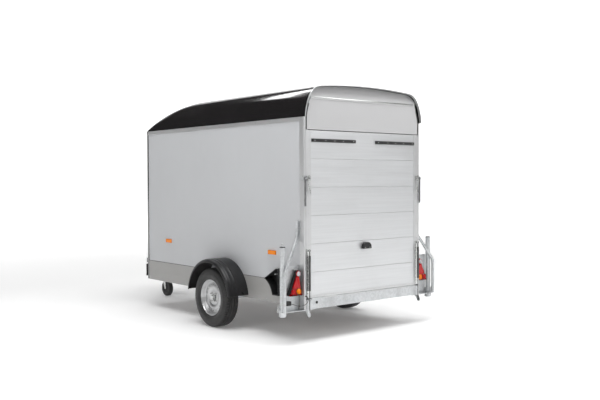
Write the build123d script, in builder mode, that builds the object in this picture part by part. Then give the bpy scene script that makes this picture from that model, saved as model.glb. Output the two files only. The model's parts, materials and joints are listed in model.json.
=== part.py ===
"""Single-axle box trailer with a moulded roof, a rear ramp door on gas struts and corner steady legs.

Millimetres. +X is the direction of travel, +Y the left side and +Z up. The origin lies on the ground,
in the middle of the trailer's length and width. Distances called "from rear" start at the rear face of
the box.
"""

from build123d import *
from math import atan2, cos, degrees, hypot, radians, sin, sqrt, tan
import os

os.makedirs("parts", exist_ok=True)

SIDES = (("left", 1), ("right", -1))

# ---------------------------------------------------------------- driving dimensions
# clearances
running_gap = 0.05  # radial gap of a shaft, pin or tube in its bore
moving_gap = 0.3  # gap between faces that move past each other

# box body
box_length = 2980.0
box_width = 1530.0
skirt_bottom = 322.0
skirt_top = 539.0
skirt_thickness = 3.0
skirt_flange = 40.0
joint_strip_height = 4.0
wall_thickness = 15.0
wall_top = 2005.0
edge_rail_height = 40.0
edge_rail_thickness = 21.0
edge_rail_wall = 3.0
floor_top = 420.0
floor_thickness = 15.0
front_corner_radius = 145.0
shell_thickness = 5.0

# rear corner pillars
pillar_width = 65.0
pillar_wall = 19.0
pillar_corner_radius = 8.0
pillar_flange_depth = 56.0
pillar_flange_thickness = 5.0
pillar_inner_wall = 6.0

# roof
roof_overhang = 25.0
roof_height = 315.0
roof_side_radius = 390.0
roof_crown_drop = 33.0
roof_shoulder_radius = 45.0
roof_fall_start = 1950.0  # from rear
roof_front_height = 90.0
roof_front_radius = 85.0

# rear header above the ramp
header_fold = 2236.0
header_thickness = 31.0
header_rim = 20.0
header_skin = 4.0
header_gap = 7.0
crown_lean = 50.0
bead_height = 24.0
bead_depth = 5.0

# chassis
rail_height = 100.0
rail_inset = 65.0
rail_flange = 45.0
rail_wall = 3.0
cross_member_width = 40.0
cross_member_count = 6
outrigger_clear = 220.0  # no outrigger nearer to the axle than this
beam_depth = 66.0
beam_wall = 3.0
threshold_depth = 33.0

# ramp door
ramp_thickness = 30.0
ramp_side_gap = 2.0
ramp_length = 1517.0
ramp_frame_width = 62.0
plank_pitch = 257.0
plank_count = 6
plank_inset = 2.0
plank_wall = 2.5
plank_joint = 2.0
ramp_open_angle = 105.0
hinge_knuckle_radius = 6.0
hinge_pin_radius = 3.0
hinge_knuckle_count = 9
hinge_leaf_height = 24.0
hinge_leaf_thickness = 2.5
pad_length = 544.0
pad_height = 30.0
pad_thickness = 16.0
pad_middle_gap = 266.0
pad_from_top = 90.0
plate_lamp_width = 137.0
plate_lamp_height = 62.0
plate_lamp_depth = 35.0
plate_lamp_bottom = 818.0

# gas struts of the ramp
strut_y = 722.0
strut_standoff = 22.0
strut_head_z = 839.0
strut_foot_z = 258.0
strut_cylinder_radius = 11.0
strut_cylinder_wall = 1.5
strut_cylinder_length = 318.0
strut_rod_radius = 4.0
strut_eye_radius = 9.0
strut_eye_width = 10.0
strut_pin_radius = 4.0
strut_lug_thickness = 5.0
strut_lug_radius = 18.0
channel_width = 42.0
channel_depth = 6.0
channel_wall = 3.0
channel_bottom_gap = 14.0

# ramp locks
lock_z = 1490.0
lock_plate_height = 50.0
lock_plate_thickness = 3.0
lock_pin_radius = 5.0
lock_hub_radius = 13.0
lock_hub_length = 16.0
lock_handle_length = 250.0
lock_handle_width = 16.0
lock_handle_thickness = 8.0
keeper_height = 44.0
keeper_depth = 18.0
keeper_width = 40.0

# steady legs, their clamps and guards
leg_radius = 25.0
leg_wall = 3.0
leg_y = 966.5
leg_from_rear = 62.0
leg_bottom = 255.0
leg_top = 880.0
collar_wall = 8.0
collar_bottom = 262.0
collar_top = 352.0
bracket_thickness = 5.0
bracket_reach_in = 660.0
bracket_length = 105.0
screw_radius = 5.0
screw_length = 36.0
screw_bar_radius = 4.0
screw_bar_length = 64.0
guard_radius = 15.0
guard_wall = 2.5
guard_bend = 70.0
guard_tab_thickness = 5.0
guard_top = 1105.0
guard_upper_bend = 960.0
guard_lower_bend = 645.0
guard_foot_from_rear = 10.0
guard_foot_y = 985.0
guard_head_from_rear = 82.0

# rear lamps
lamp_plate_from_rear = 75.0
lamp_plate_thickness = 3.0
lamp_plate_top = 700.0
lamp_housing_depth = 35.0
lamp_lens_depth = 12.0
lamp_top = (812.0, 655.0)
lamp_inner_foot = (776.0, 446.0)
lamp_outer_foot = (900.0, 446.0)
lamp_corner_radius = 14.0
lamp_lens_inset = 4.0
junction_size = (30.0, 50.0, 38.0)
junction_bottom = 352.0
junction_y = 905.0

# small lamps on the sides and front corners
marker_length = 116.0
marker_height = 40.0
marker_depth = 12.0
marker_bottom = 774.0
markers_from_rear = (415.0, 2320.0)
corner_block_bottom = 352.0
corner_block_top = 489.0
corner_block_thickness = 16.0
corner_block_angles = (6.0, 62.0)

# axle and wheels
axle_from_rear = 1243.0
tyre_radius = 297.0
tyre_width = 165.0
tyre_wall = 11.0
tyre_tread_flat = 118.0
wheel_y = 885.0
rim_width = 128.0
rim_flange_radius = 182.5
rim_seat_radius = 165.0
rim_well_radius = 146.0
rim_wall = 3.5
rim_offset = 27.0
rim_disc_thickness = 4.0
rim_disc_ring_rise = 12.0
rim_bore_radius = 28.5
vent_count = 20
vent_radius = 7.0
vent_circle = 132.0
nut_circle_radius = 50.0
nut_count = 4
nut_flats = 19.0
nut_height = 15.0
cap_radius = 26.0
cap_length = 24.0
drum_radius = 100.0
drum_wall = 8.0
drum_depth = 80.0
hub_radius = 36.0
hub_flange_radius = 64.0
hub_flange_thickness = 8.0
bearing_radius = 27.0
bearing_width = 14.0
spindle_radius = 17.0
back_plate_thickness = 3.0
axle_tube_size = 70.0
axle_tube_wall = 4.0
axle_shaft_radius = 18.0
axle_bush_length = 80.0
swing_arm_reach = 155.0
swing_arm_thickness = 25.0
swing_arm_boss = 34.0
swing_arm_eye = 30.0
skirt_notch_half = 150.0
skirt_notch_top = 420.0

# mudguards
guard_arch_radius = 392.0
guard_arch_thickness = 4.0
guard_arch_bottom = 350.0
guard_arch_outer_y = 995.0
guard_arch_lip = 30.0
guard_arch_liner = 3.0

# wheel chocks
chock_width = 90.0
chock_wall = 8.0
chock_tip = (481.0, 557.0)
chock_seat = (398.0, 497.0)
chock_heel = (357.0, 411.0)
chock_back_from_rear = 262.0
chock_top = 661.0
chock_peg_from_rear = 305.0
chock_peg_z = 610.0
chock_peg_radius = 7.0
chock_holder_size = (60.0, 90.0)
chock_holder_thickness = 6.0

# drawbar
apex_from_rear = 3720.0
apex_half_gap = 38.0
arm_slope = 0.2
arm_width = 40.0
arm_height = 70.0
arm_wall = 3.0
head_plate_length = 240.0
head_plate_thickness = 6.0

# overrun coupling
housing_length = 250.0
housing_setback = 105.0
housing_width = 90.0
housing_height = 140.0
draw_tube_radius = 25.0
draw_tube_length = 375.0
draw_tube_wall = 5.0
draw_axis_z = 385.0
overrun_travel = 90.0
gaiter_length = 140.0
gaiter_radius = 38.0
gaiter_waist = 31.0
gaiter_folds = 7
coupling_sleeve_length = 100.0
coupling_sleeve_half = 34.0
coupling_ball_radius = 25.0
ball_gap = 0.4
coupling_cup_radius = 38.0
coupling_ball_from_sleeve = 335.0
socket_depth = 40.0
coupling_cup_height = 58.0
coupling_neck_width = 44.0
handle_length = 190.0
handle_pivot_back = 70.0
handle_pivot_radius = 5.0
brake_lever_length = 330.0
brake_lever_width = 24.0
brake_lever_thickness = 8.0
brake_pivot_radius = 8.0

# jockey wheel
jockey_from_rear = 3475.0
jockey_y = 179.0
jockey_wheel_radius = 100.0
jockey_wheel_width = 55.0
jockey_trail = 45.0
jockey_tube_radius = 24.0
jockey_tube_wall = 4.0
jockey_tube_bottom = 250.0
jockey_tube_top = 640.0
jockey_crown_top = 216.0
jockey_crown_thickness = 8.0
jockey_fork_thickness = 5.0
jockey_fork_gap = 3.0
jockey_pin_radius = 6.0
jockey_swivel_radius = 12.0
jockey_clamp_bottom = 330.0
jockey_clamp_height = 60.0
jockey_clamp_wall = 9.0
crank_throw = 120.0
crank_rod_radius = 6.0
crank_grip_radius = 14.0
crank_grip_length = 90.0

# lamp cable at the left rear corner
cable_radius = 2.75
grommet_radius = 5.0
grommet_depth = 4.0

# ---------------------------------------------------------------- places worked out from them
half_width = box_width / 2
wall_out = half_width - skirt_thickness
wall_in = wall_out - wall_thickness
chassis_top = floor_top - floor_thickness
chassis_bottom = chassis_top - rail_height
roof_bottom = wall_top + edge_rail_height
roof_half = wall_in + edge_rail_thickness

tail_reach = strut_standoff + strut_lug_radius
coupling_from_rear = apex_from_rear + housing_length / 2 - housing_setback + gaiter_length
ball_from_rear = coupling_from_rear + coupling_ball_from_sleeve
nose_reach = ball_from_rear + coupling_cup_radius - box_length
overall_length = tail_reach + box_length + nose_reach
rear_x = tail_reach - overall_length / 2
front_x = rear_x + box_length
axle_x = rear_x + axle_from_rear
wheel_z = tyre_radius

hinge_x = rear_x - hinge_knuckle_radius
ramp_half = half_width - pillar_wall - ramp_side_gap
ramp_bottom = chassis_top + 3.0
hinge_z = ramp_bottom - hinge_knuckle_radius - 1.0
ramp_top = ramp_bottom + ramp_length
beam_top = hinge_z - 5.0
header_bottom = ramp_top + header_gap
side_panel_front = box_length - front_corner_radius + 1.0

strut_x = rear_x - strut_standoff
rail_out = half_width - rail_inset
rail_in = rail_out - rail_flange


def block(x0, x1, y0, y1, z0, z1, mode=Mode.ADD):
    """A box between two opposite corners, in the part being built."""
    with Locations(((x0 + x1) / 2, (y0 + y1) / 2, (z0 + z1) / 2)):
        Box(abs(x1 - x0), abs(y1 - y0), abs(z1 - z0), mode=mode)


def rod_y(x, y0, y1, z, radius, mode=Mode.ADD):
    """A cylinder along Y."""
    with Locations(Location((x, (y0 + y1) / 2, z), (90, 0, 0))):
        Cylinder(radius, abs(y1 - y0), mode=mode)


def rod_x(x0, x1, y, z, radius, mode=Mode.ADD):
    """A cylinder along X."""
    with Locations(Location(((x0 + x1) / 2, y, z), (0, 90, 0))):
        Cylinder(radius, abs(x1 - x0), mode=mode)


def rod_z(x, y, z0, z1, radius, mode=Mode.ADD):
    """A cylinder along Z."""
    with Locations((x, y, (z0 + z1) / 2)):
        Cylinder(radius, abs(z1 - z0), mode=mode)


def finish(piece, name):
    """Name a finished piece and write it."""
    piece.part.label = name
    export_step(piece.part, f"parts/{name}.step")


# ---------------------------------------------------------------- chassis
rail_back = rear_x + beam_depth
rail_front = front_x - front_corner_radius + sqrt(
    (front_corner_radius - shell_thickness) ** 2 - (rail_out - half_width + front_corner_radius) ** 2
) - 5.0
cross_span = rail_front - rail_back - cross_member_width
cross_xs = [
    rail_back + cross_member_width / 2 + cross_span * step / (cross_member_count - 1)
    for step in range(cross_member_count)
]

with BuildPart() as chassis_frame:
    # two side rails, C sections that open outwards
    block(rail_back, rail_front, rail_in, rail_in + rail_wall, chassis_bottom, chassis_top)
    block(rail_back, rail_front, rail_in, rail_out, chassis_bottom, chassis_bottom + rail_wall)
    block(rail_back, rail_front, rail_in, rail_out, chassis_top - rail_wall, chassis_top)
    mirror(about=Plane.XZ)
for cross_x in cross_xs:
    near, far = cross_x - cross_member_width / 2, cross_x + cross_member_width / 2
    with BuildPart() as cross_member:
        block(near, far, -rail_in, rail_in, chassis_bottom, chassis_top)
        block(
            near + rail_wall, far, -rail_in, rail_in, chassis_bottom + rail_wall, chassis_top - rail_wall,
            Mode.SUBTRACT,
        )
        block(near, far, -rail_in, -rail_in + rail_wall, chassis_bottom, chassis_top)
        block(near, far, rail_in - rail_wall, rail_in, chassis_bottom, chassis_top)
    chassis_frame.part += cross_member.part
    if abs(cross_x - axle_x) > outrigger_clear and far < rear_x + side_panel_front:
        with BuildPart() as outrigger:
            block(near, far, rail_out, wall_out, chassis_bottom + 20.0, chassis_top)
            block(near + rail_wall, far, rail_out, wall_out, chassis_bottom, chassis_top - rail_wall, Mode.SUBTRACT)
            mirror(about=Plane.XZ)
        chassis_frame.part += outrigger.part
finish(chassis_frame, "chassis_frame")

with BuildPart() as floor_panel:
    with BuildSketch(Plane.XY.offset(chassis_top)):
        with Locations(((rear_x + beam_depth + front_x - shell_thickness) / 2, 0)):
            Rectangle(box_length - beam_depth - shell_thickness, 2 * wall_in)
        corners = [v for v in vertices() if v.X > 0]
        fillet(corners, front_corner_radius - shell_thickness - wall_thickness + skirt_thickness)
    extrude(amount=floor_thickness)
finish(floor_panel, "floor_panel")

# rear beam with its threshold, chassis half of the piano hinge and the hinge pin
hinge_half = strut_y - strut_cylinder_radius - 21.0
knuckle_length = 2 * hinge_half / hinge_knuckle_count


def knuckles(start, upwards):
    """Every second knuckle of the hinge and the tabs that tie them to the leaf."""
    tab_end = hinge_z + (hinge_knuckle_radius + 1.5) * (1 if upwards else -1)
    for index in range(start, hinge_knuckle_count, 2):
        y0 = -hinge_half + index * knuckle_length + moving_gap / 2
        y1 = y0 + knuckle_length - moving_gap
        rod_y(hinge_x, y0, y1, hinge_z, hinge_knuckle_radius)
        block(rear_x - hinge_leaf_thickness, rear_x, y0, y1, hinge_z, tab_end)


with BuildPart() as rear_beam:
    block(rear_x, rear_x + beam_depth, -ramp_half, ramp_half, chassis_bottom, beam_top)
    block(
        rear_x + beam_wall, rear_x + beam_depth - beam_wall, -ramp_half, ramp_half,
        chassis_bottom + beam_wall, beam_top - beam_wall, Mode.SUBTRACT,
    )
    threshold_half = half_width - pillar_wall - pillar_flange_depth - 2.0
    block(rear_x + threshold_depth, rear_x + beam_depth, -threshold_half, threshold_half, beam_top, floor_top)
    block(
        rear_x - hinge_leaf_thickness, rear_x, -hinge_half, hinge_half,
        hinge_z - hinge_leaf_height, hinge_z - hinge_knuckle_radius - 1.5,
    )
    knuckles(0, upwards=False)
    rod_y(hinge_x, -hinge_half, hinge_half, hinge_z, hinge_pin_radius)
finish(rear_beam, "rear_beam")

# ---------------------------------------------------------------- body
with BuildPart() as side_panels:
    block(rear_x + pillar_width, rear_x + side_panel_front, wall_in, wall_out, chassis_top, wall_top)
    mirror(about=Plane.XZ)
finish(side_panels, "side_panels")

with BuildPart() as side_skirts:
    x0, x1 = rear_x + pillar_width, rear_x + side_panel_front
    block(x0, x1, wall_out, half_width, skirt_bottom, skirt_top)
    block(
        axle_x - skirt_notch_half, axle_x + skirt_notch_half, wall_out, half_width,
        skirt_bottom, skirt_notch_top, Mode.SUBTRACT,
    )
    mirror(about=Plane.XZ)
finish(side_skirts, "side_skirts")

with BuildPart() as top_rails:
    x0, x1 = rear_x + pillar_width, rear_x + side_panel_front
    block(x0, x1, wall_in, roof_half, wall_top, roof_bottom)
    block(
        x0, x1, wall_in + edge_rail_wall, roof_half - edge_rail_wall,
        wall_top + edge_rail_wall, roof_bottom - edge_rail_wall, Mode.SUBTRACT,
    )
    mirror(about=Plane.XZ)
finish(top_rails, "top_rails")

pillar_in = half_width - pillar_wall
with BuildPart() as corner_pillars:
    # plan section: rounded outer corner, rebate for the ramp and a flange that the ramp closes on
    flange_face = rear_x + ramp_thickness + 1.0
    with BuildSketch(Plane.XY.offset(chassis_top - 5.0)):
        with BuildLine():
            Polyline(
                (rear_x, pillar_in),
                (rear_x, half_width),
                (rear_x + pillar_width, half_width),
                (rear_x + pillar_width, pillar_in - pillar_inner_wall),
                (flange_face + pillar_flange_thickness, pillar_in - pillar_inner_wall),
                (flange_face + pillar_flange_thickness, pillar_in - pillar_flange_depth),
                (flange_face, pillar_in - pillar_flange_depth),
                (flange_face, pillar_in),
                close=True,
            )
        make_face()
        rear_corner = vertices().sort_by(Axis.X)[:2].sort_by(Axis.Y)[-1]
        fillet(rear_corner, pillar_corner_radius)
    extrude(amount=roof_bottom - chassis_top + 5.0)
    with BuildSketch(Plane.XY.offset(chassis_bottom)):
        with Locations((rear_x + pillar_width / 2, half_width - pillar_wall / 2)):
            Rectangle(pillar_width, pillar_wall)
        rear_corner = vertices().sort_by(Axis.X)[:2].sort_by(Axis.Y)[-1]
        fillet(rear_corner, pillar_corner_radius)
    extrude(amount=chassis_top - 5.0 - chassis_bottom)
    # the hollow chamber of the extrusion
    block(
        flange_face + pillar_flange_thickness, rear_x + pillar_width - edge_rail_wall,
        pillar_in - edge_rail_wall, half_width - edge_rail_wall,
        chassis_bottom, roof_bottom, Mode.SUBTRACT,
    )
    mirror(about=Plane.XZ)
finish(corner_pillars, "corner_pillars")

x0 = rear_x + side_panel_front
depth = front_x - x0
with BuildPart() as front_shell:
    with BuildSketch(Plane.XY.offset(skirt_bottom)):
        with Locations((x0 + depth / 2, 0)):
            Rectangle(depth, 2 * half_width)
        fillet(vertices().group_by(Axis.X)[-1], depth - 1.0)
    extrude(amount=roof_bottom - skirt_bottom)
    with BuildSketch(Plane.XY.offset(skirt_bottom)):
        with Locations((x0 + (depth - shell_thickness) / 2, 0)):
            Rectangle(depth - shell_thickness, 2 * (half_width - shell_thickness))
        fillet(vertices().group_by(Axis.X)[-1], depth - shell_thickness - 1.0)
    extrude(amount=roof_bottom - skirt_bottom, mode=Mode.SUBTRACT)
finish(front_shell, "front_shell")


def roof_half_outline(inset):
    """The measures of the roof's section, moved inwards by inset."""
    half = roof_half - inset
    top = roof_bottom + roof_height - inset
    side_radius = roof_side_radius - inset
    crown_radius = ((half * 0.85) ** 2 + roof_crown_drop**2) / (2 * roof_crown_drop)
    return half, top, side_radius, crown_radius


def roof_block(inset, front_cut, start):
    """The closed form under the roof skin, moved inwards by inset."""
    half, top, side_radius, crown_radius = roof_half_outline(inset)
    side_centre = half - side_radius
    shoulder_z = top - roof_crown_drop
    shoulder_y = side_centre + sqrt(side_radius**2 - (shoulder_z - roof_bottom) ** 2)
    half_angle = atan2(shoulder_z - roof_bottom, shoulder_y - side_centre) / 2
    arc_mid = (side_centre + side_radius * cos(half_angle), roof_bottom + side_radius * sin(half_angle))
    with BuildPart() as form:
        with BuildSketch(Plane.YZ.offset(start)):
            with BuildLine():
                Line((-half, roof_bottom), (half, roof_bottom))
                ThreePointArc((half, roof_bottom), arc_mid, (shoulder_y, shoulder_z))
                ThreePointArc((shoulder_y, shoulder_z), (0, top), (-shoulder_y, shoulder_z))
                ThreePointArc((-shoulder_y, shoulder_z), (-arc_mid[0], arc_mid[1]), (-half, roof_bottom))
            make_face()
            fillet(vertices().group_by(Axis.Y)[-1], roof_shoulder_radius - inset)
        extrude(amount=front_cut - start)
        # the crown falls towards the front in one long arc and turns down at the front edge
        with BuildSketch(Plane.XZ):
            fall_x = rear_x + roof_fall_start
            front_z = roof_bottom + roof_front_height - inset
            run = front_cut - fall_x
            drop = top - front_z
            fall_radius = (run**2 + drop**2) / (2 * drop)
            mid_x = fall_x + run / 2
            mid_z = top - fall_radius + sqrt(fall_radius**2 - (run / 2) ** 2)
            with BuildLine():
                Polyline(
                    (front_cut, front_z), (front_cut, roof_bottom), (start, roof_bottom), (start, top),
                    (fall_x, top),
                )
                ThreePointArc((fall_x, top), (mid_x, mid_z), (front_cut, front_z))
            make_face()
            fillet(vertices().group_by(Axis.X)[-1].sort_by(Axis.Y)[-1], roof_front_radius - inset)
        extrude(amount=2 * half, both=True, mode=Mode.INTERSECT)
        with BuildSketch(Plane.XY.offset(roof_bottom)):
            with Locations(((start + front_cut) / 2, 0)):
                Rectangle(front_cut - start, 2 * half)
            fillet(vertices().group_by(Axis.X)[-1], front_corner_radius - inset)
        extrude(amount=roof_height, mode=Mode.INTERSECT)
    return form.part


roof_back = rear_x - roof_overhang
roof_outer = roof_block(0.0, front_x, roof_back)
roof_inner = roof_block(shell_thickness, front_x - shell_thickness, roof_back)
with BuildPart() as roof_shell:
    add(roof_outer)
    add(roof_inner, mode=Mode.SUBTRACT)
finish(roof_shell, "roof_shell")

# rear header: a tray-shaped lower panel, its bead, and a crown strip that leans forward under the roof
header_low_half = ramp_half + 1.0
with BuildPart() as header_lower:
    with BuildSketch(Plane.YZ.offset(rear_x)):
        with BuildLine():
            Polyline(
                (-header_low_half, header_bottom), (header_low_half, header_bottom),
                (header_low_half, roof_bottom), (header_low_half - 10.0, roof_bottom + 55.0),
                (header_low_half - 45.0, header_fold - 36.0), (header_low_half - 62.0, header_fold),
                (-header_low_half + 62.0, header_fold), (-header_low_half + 45.0, header_fold - 36.0),
                (-header_low_half + 10.0, roof_bottom + 55.0), (-header_low_half, roof_bottom),
                close=True,
            )
        make_face()
    extrude(amount=header_thickness)
    with BuildSketch(Plane.YZ.offset(rear_x + header_skin)):
        with BuildLine():
            low = header_low_half - header_rim
            Polyline(
                (-low, header_bottom + header_rim), (low, header_bottom + header_rim),
                (low - 10.0, roof_bottom + 55.0), (low - 50.0, header_fold - header_rim),
                (-low + 50.0, header_fold - header_rim), (-low + 10.0, roof_bottom + 55.0),
                close=True,
            )
        make_face()
    extrude(amount=header_thickness, mode=Mode.SUBTRACT)
with BuildPart() as header_bead:
    bead_half = header_low_half - 56.0
    block(rear_x - bead_depth, rear_x, -bead_half, bead_half, header_fold - 4.0 - bead_height, header_fold - 4.0)
with BuildPart() as rear_header:
    with BuildSketch(Plane.XZ):
        with BuildLine():
            Polyline(
                (rear_x, header_fold), (rear_x + header_skin, header_fold),
                (rear_x + crown_lean + header_skin, roof_bottom + roof_height),
                (rear_x + crown_lean, roof_bottom + roof_height),
                close=True,
            )
        make_face()
    extrude(amount=roof_half, both=True)
    add(roof_inner, mode=Mode.INTERSECT)
rear_header.part += header_lower.part
rear_header.part += header_bead.part
finish(rear_header, "rear_header")

# rubber: strips over the skirt joint, header side seals, beam grommet, cable grommet, lamp junction box
junction_x = rear_x + lamp_plate_from_rear
with BuildPart() as body_seals:
    block(
        rear_x + pillar_width, rear_x + side_panel_front, wall_out, wall_out + skirt_thickness - 0.5,
        skirt_top, skirt_top + joint_strip_height,
    )
    block(
        rear_x - skirt_thickness, rear_x, header_low_half - 9.0, header_low_half,
        header_bottom, roof_bottom + 30.0,
    )
    mirror(about=Plane.XZ)
    block(
        junction_x - junction_size[0], junction_x, junction_y - junction_size[1] / 2,
        junction_y + junction_size[1] / 2, junction_bottom, junction_bottom + junction_size[2],
    )
    with Locations(Location((rear_x - 2.0, 620.0, 362.0), (0, 90, 0))):
        Cylinder(13.0, 4.0)
    cable_exit = (rear_x - grommet_depth, pillar_in + 7.0, 428.0)
    rod_x(cable_exit[0], rear_x, cable_exit[1], cable_exit[2], grommet_radius)
finish(body_seals, "body_seals")

# ---------------------------------------------------------------- brackets at the rear corners
leg_x = rear_x + leg_from_rear
lug_in = strut_y + strut_eye_width / 2 + moving_gap
peg_x = rear_x + chock_peg_from_rear
lock_y = half_width - 5.0


def add_rear_brackets(side):
    """The leg carrier with its collar, the lamp plate, the strut foot, the lock bracket and chock holder."""
    collar_radius = leg_radius + collar_wall
    plate_top, plate_bottom = chassis_bottom, chassis_bottom - bracket_thickness
    with BuildPart() as carrier:
        block(
            rear_x, rear_x + bracket_length, side * bracket_reach_in, side * (leg_y + collar_radius),
            plate_bottom, plate_top,
        )
        rod_z(leg_x, side * leg_y, collar_bottom, collar_top, collar_radius)
        screw_z = (chassis_bottom + collar_top) / 2 + 4.0
        block(
            leg_x - 12.0, leg_x + 12.0, side * leg_y, side * (leg_y + collar_radius + 4.0),
            screw_z - 12.0, screw_z + 12.0,
        )
        rod_z(leg_x, side * leg_y, collar_bottom, collar_top, leg_radius + running_gap, Mode.SUBTRACT)
        rod_y(
            leg_x, side * leg_y, side * (leg_y + collar_radius + 5.0), screw_z, screw_radius + running_gap,
            Mode.SUBTRACT,
        )
        # foot lug of the gas strut
        with BuildSketch(Plane.XZ.offset(-side * (lug_in if side > 0 else lug_in + strut_lug_thickness))):
            with Locations((strut_x, strut_foot_z)):
                Circle(strut_lug_radius)
            with BuildLine():
                Polyline(
                    (strut_x - strut_lug_radius, strut_foot_z), (strut_x - strut_lug_radius + 14.0, plate_bottom),
                    (rear_x + 30.0, plate_bottom), (strut_x + strut_lug_radius, strut_foot_z), close=True,
                )
            make_face()
        extrude(amount=-strut_lug_thickness)
    with BuildPart() as lamp_plate:
        x0 = rear_x + lamp_plate_from_rear
        block(
            x0, x0 + lamp_plate_thickness, side * wall_out, side * (leg_y - leg_radius - 4.0),
            skirt_bottom, lamp_plate_top,
        )
        block(
            x0, x0 + lamp_plate_thickness, side * wall_out, side * half_width, skirt_bottom, skirt_top + 5.0,
            Mode.SUBTRACT,
        )
        block(
            x0, x0 + lamp_plate_thickness, side * (half_width + 1.0), side * (leg_y - leg_radius - 9.0),
            chassis_bottom, skirt_bottom,
        )
    with BuildPart() as lock_bracket:
        z0, z1 = lock_z - lock_plate_height / 2, lock_z + lock_plate_height / 2
        skin = half_width + lock_plate_thickness
        block(rear_x - lock_plate_thickness, rear_x + 58.0, side * half_width, side * skin, z0, z1)
        block(rear_x - lock_plate_thickness, rear_x, side * (pillar_in + 2.0), side * skin, z0, z1)
        pin_end = rear_x - lock_plate_thickness - moving_gap - lock_hub_length - moving_gap
        rod_x(pin_end, rear_x - lock_plate_thickness, side * lock_y, lock_z, lock_pin_radius)
        rod_x(pin_end - 4.0, pin_end, side * lock_y, lock_z, lock_pin_radius + 4.0)
    with BuildPart() as chock_holder:
        wide, high = chock_holder_size
        plate_out = side * (wall_out + chock_holder_thickness)
        z0 = skirt_top + joint_strip_height + 1.0
        block(peg_x - wide / 2, peg_x + wide / 2, side * wall_out, plate_out, z0, z0 + high)
        peg_end = wall_out + chock_holder_thickness + moving_gap + chock_width + 6.0
        rod_y(peg_x, plate_out, side * peg_end, chock_peg_z, chock_peg_radius)
    return [carrier.part, lamp_plate.part, lock_bracket.part, chock_holder.part]


rear_brackets = Compound(children=[piece for _, side in SIDES for piece in add_rear_brackets(side)])
rear_brackets.label = "rear_brackets"
export_step(rear_brackets, "parts/rear_brackets.step")

# bent guard tubes in front of the lamps
with BuildPart() as guard_tubes:
    head_x = rear_x + guard_head_from_rear
    head_y = wall_out + guard_tab_thickness + guard_radius
    foot_x = rear_x + guard_foot_from_rear
    with BuildLine() as guard_line:
        FilletPolyline(
            (head_x, head_y, guard_top),
            (head_x, head_y, guard_upper_bend),
            (foot_x, guard_foot_y, guard_lower_bend),
            (foot_x, guard_foot_y, chassis_bottom),
            radius=guard_bend,
        )
    with BuildSketch(Plane((head_x, head_y, guard_top), z_dir=(0, 0, -1))):
        Circle(guard_radius)
        Circle(guard_radius - guard_wall, mode=Mode.SUBTRACT)
    sweep(path=guard_line.line)
    block(
        head_x - guard_radius, head_x + guard_radius, wall_out, head_y - guard_radius + 1.5,
        guard_upper_bend + 40.0, guard_top,
    )
    mirror(about=Plane.XZ)
finish(guard_tubes, "guard_tubes")


# ---------------------------------------------------------------- lamps
def lamp_solid(x0, x1, grow):
    """Both triangular lamp bodies between two planes, with their outline grown by grow."""
    with BuildPart() as lamp:
        with BuildSketch(Plane.YZ.offset(x0)):
            with BuildLine():
                Polyline(lamp_inner_foot, lamp_outer_foot, lamp_top, close=True)
            make_face()
            offset(amount=lamp_corner_radius + grow, kind=Kind.ARC)
        extrude(amount=x1 - x0)
        mirror(about=Plane.XZ)
    return lamp


lamp_back = rear_x + lamp_plate_from_rear
lamp_front = lamp_back - lamp_housing_depth
lamp_housings = lamp_solid(lamp_front, lamp_back, -4.0)
finish(lamp_housings, "lamp_housings")
lamp_lenses = lamp_solid(lamp_front - lamp_lens_depth, lamp_front, -4.0 - lamp_lens_inset)
finish(lamp_lenses, "lamp_lenses")

with BuildPart() as side_markers:
    for start in markers_from_rear:
        x0 = rear_x + start
        block(x0, x0 + marker_length, wall_out, wall_out + marker_depth, marker_bottom, marker_bottom + marker_height)
    mirror(about=Plane.XZ)
finish(side_markers, "side_markers")

with BuildPart() as front_markers:
    with BuildSketch(Plane.XY.offset(corner_block_bottom)):
        corner_x = front_x - front_corner_radius + 1.0 + 1.0
        corner_y = half_width - front_corner_radius + 2.0
        bend = front_corner_radius - 2.0
        low, high = corner_block_angles
        with BuildLine():
            CenterArc((corner_x, corner_y), bend + corner_block_thickness, low, high - low)
            CenterArc((corner_x, corner_y), bend, low, high - low)
            for angle in (low, high):
                ray = (cos(radians(angle)), sin(radians(angle)))
                Line(
                    (corner_x + bend * ray[0], corner_y + bend * ray[1]),
                    (
                        corner_x + (bend + corner_block_thickness) * ray[0],
                        corner_y + (bend + corner_block_thickness) * ray[1],
                    ),
                )
        make_face()
    extrude(amount=corner_block_top - corner_block_bottom)
    mirror(about=Plane.XZ)
finish(front_markers, "front_markers")

# ---------------------------------------------------------------- mudguards
with BuildPart() as mudguards:
    arch_low = guard_arch_bottom - wheel_z
    arch_span = 2 * guard_arch_radius
    with BuildSketch(Plane.XZ.offset(-half_width)):
        with Locations((axle_x, wheel_z)):
            Circle(guard_arch_radius)
        with Locations((axle_x, wheel_z + arch_low - guard_arch_radius)):
            Rectangle(arch_span, arch_span, mode=Mode.SUBTRACT)
    extrude(amount=half_width - guard_arch_outer_y)
    # room for the wheel, open below and at the outer side inside the lip
    with BuildSketch(Plane.XZ.offset(-half_width - guard_arch_liner)):
        with Locations((axle_x, wheel_z)):
            Circle(guard_arch_radius - guard_arch_thickness)
    extrude(amount=half_width + guard_arch_liner + guard_arch_thickness - guard_arch_outer_y, mode=Mode.SUBTRACT)
    with BuildSketch(Plane.XZ.offset(-guard_arch_outer_y)):
        with Locations((axle_x, wheel_z)):
            Circle(guard_arch_radius - guard_arch_lip)
    extrude(amount=guard_arch_thickness, mode=Mode.SUBTRACT)
    mirror(about=Plane.XZ)
finish(mudguards, "mudguards")

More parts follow.
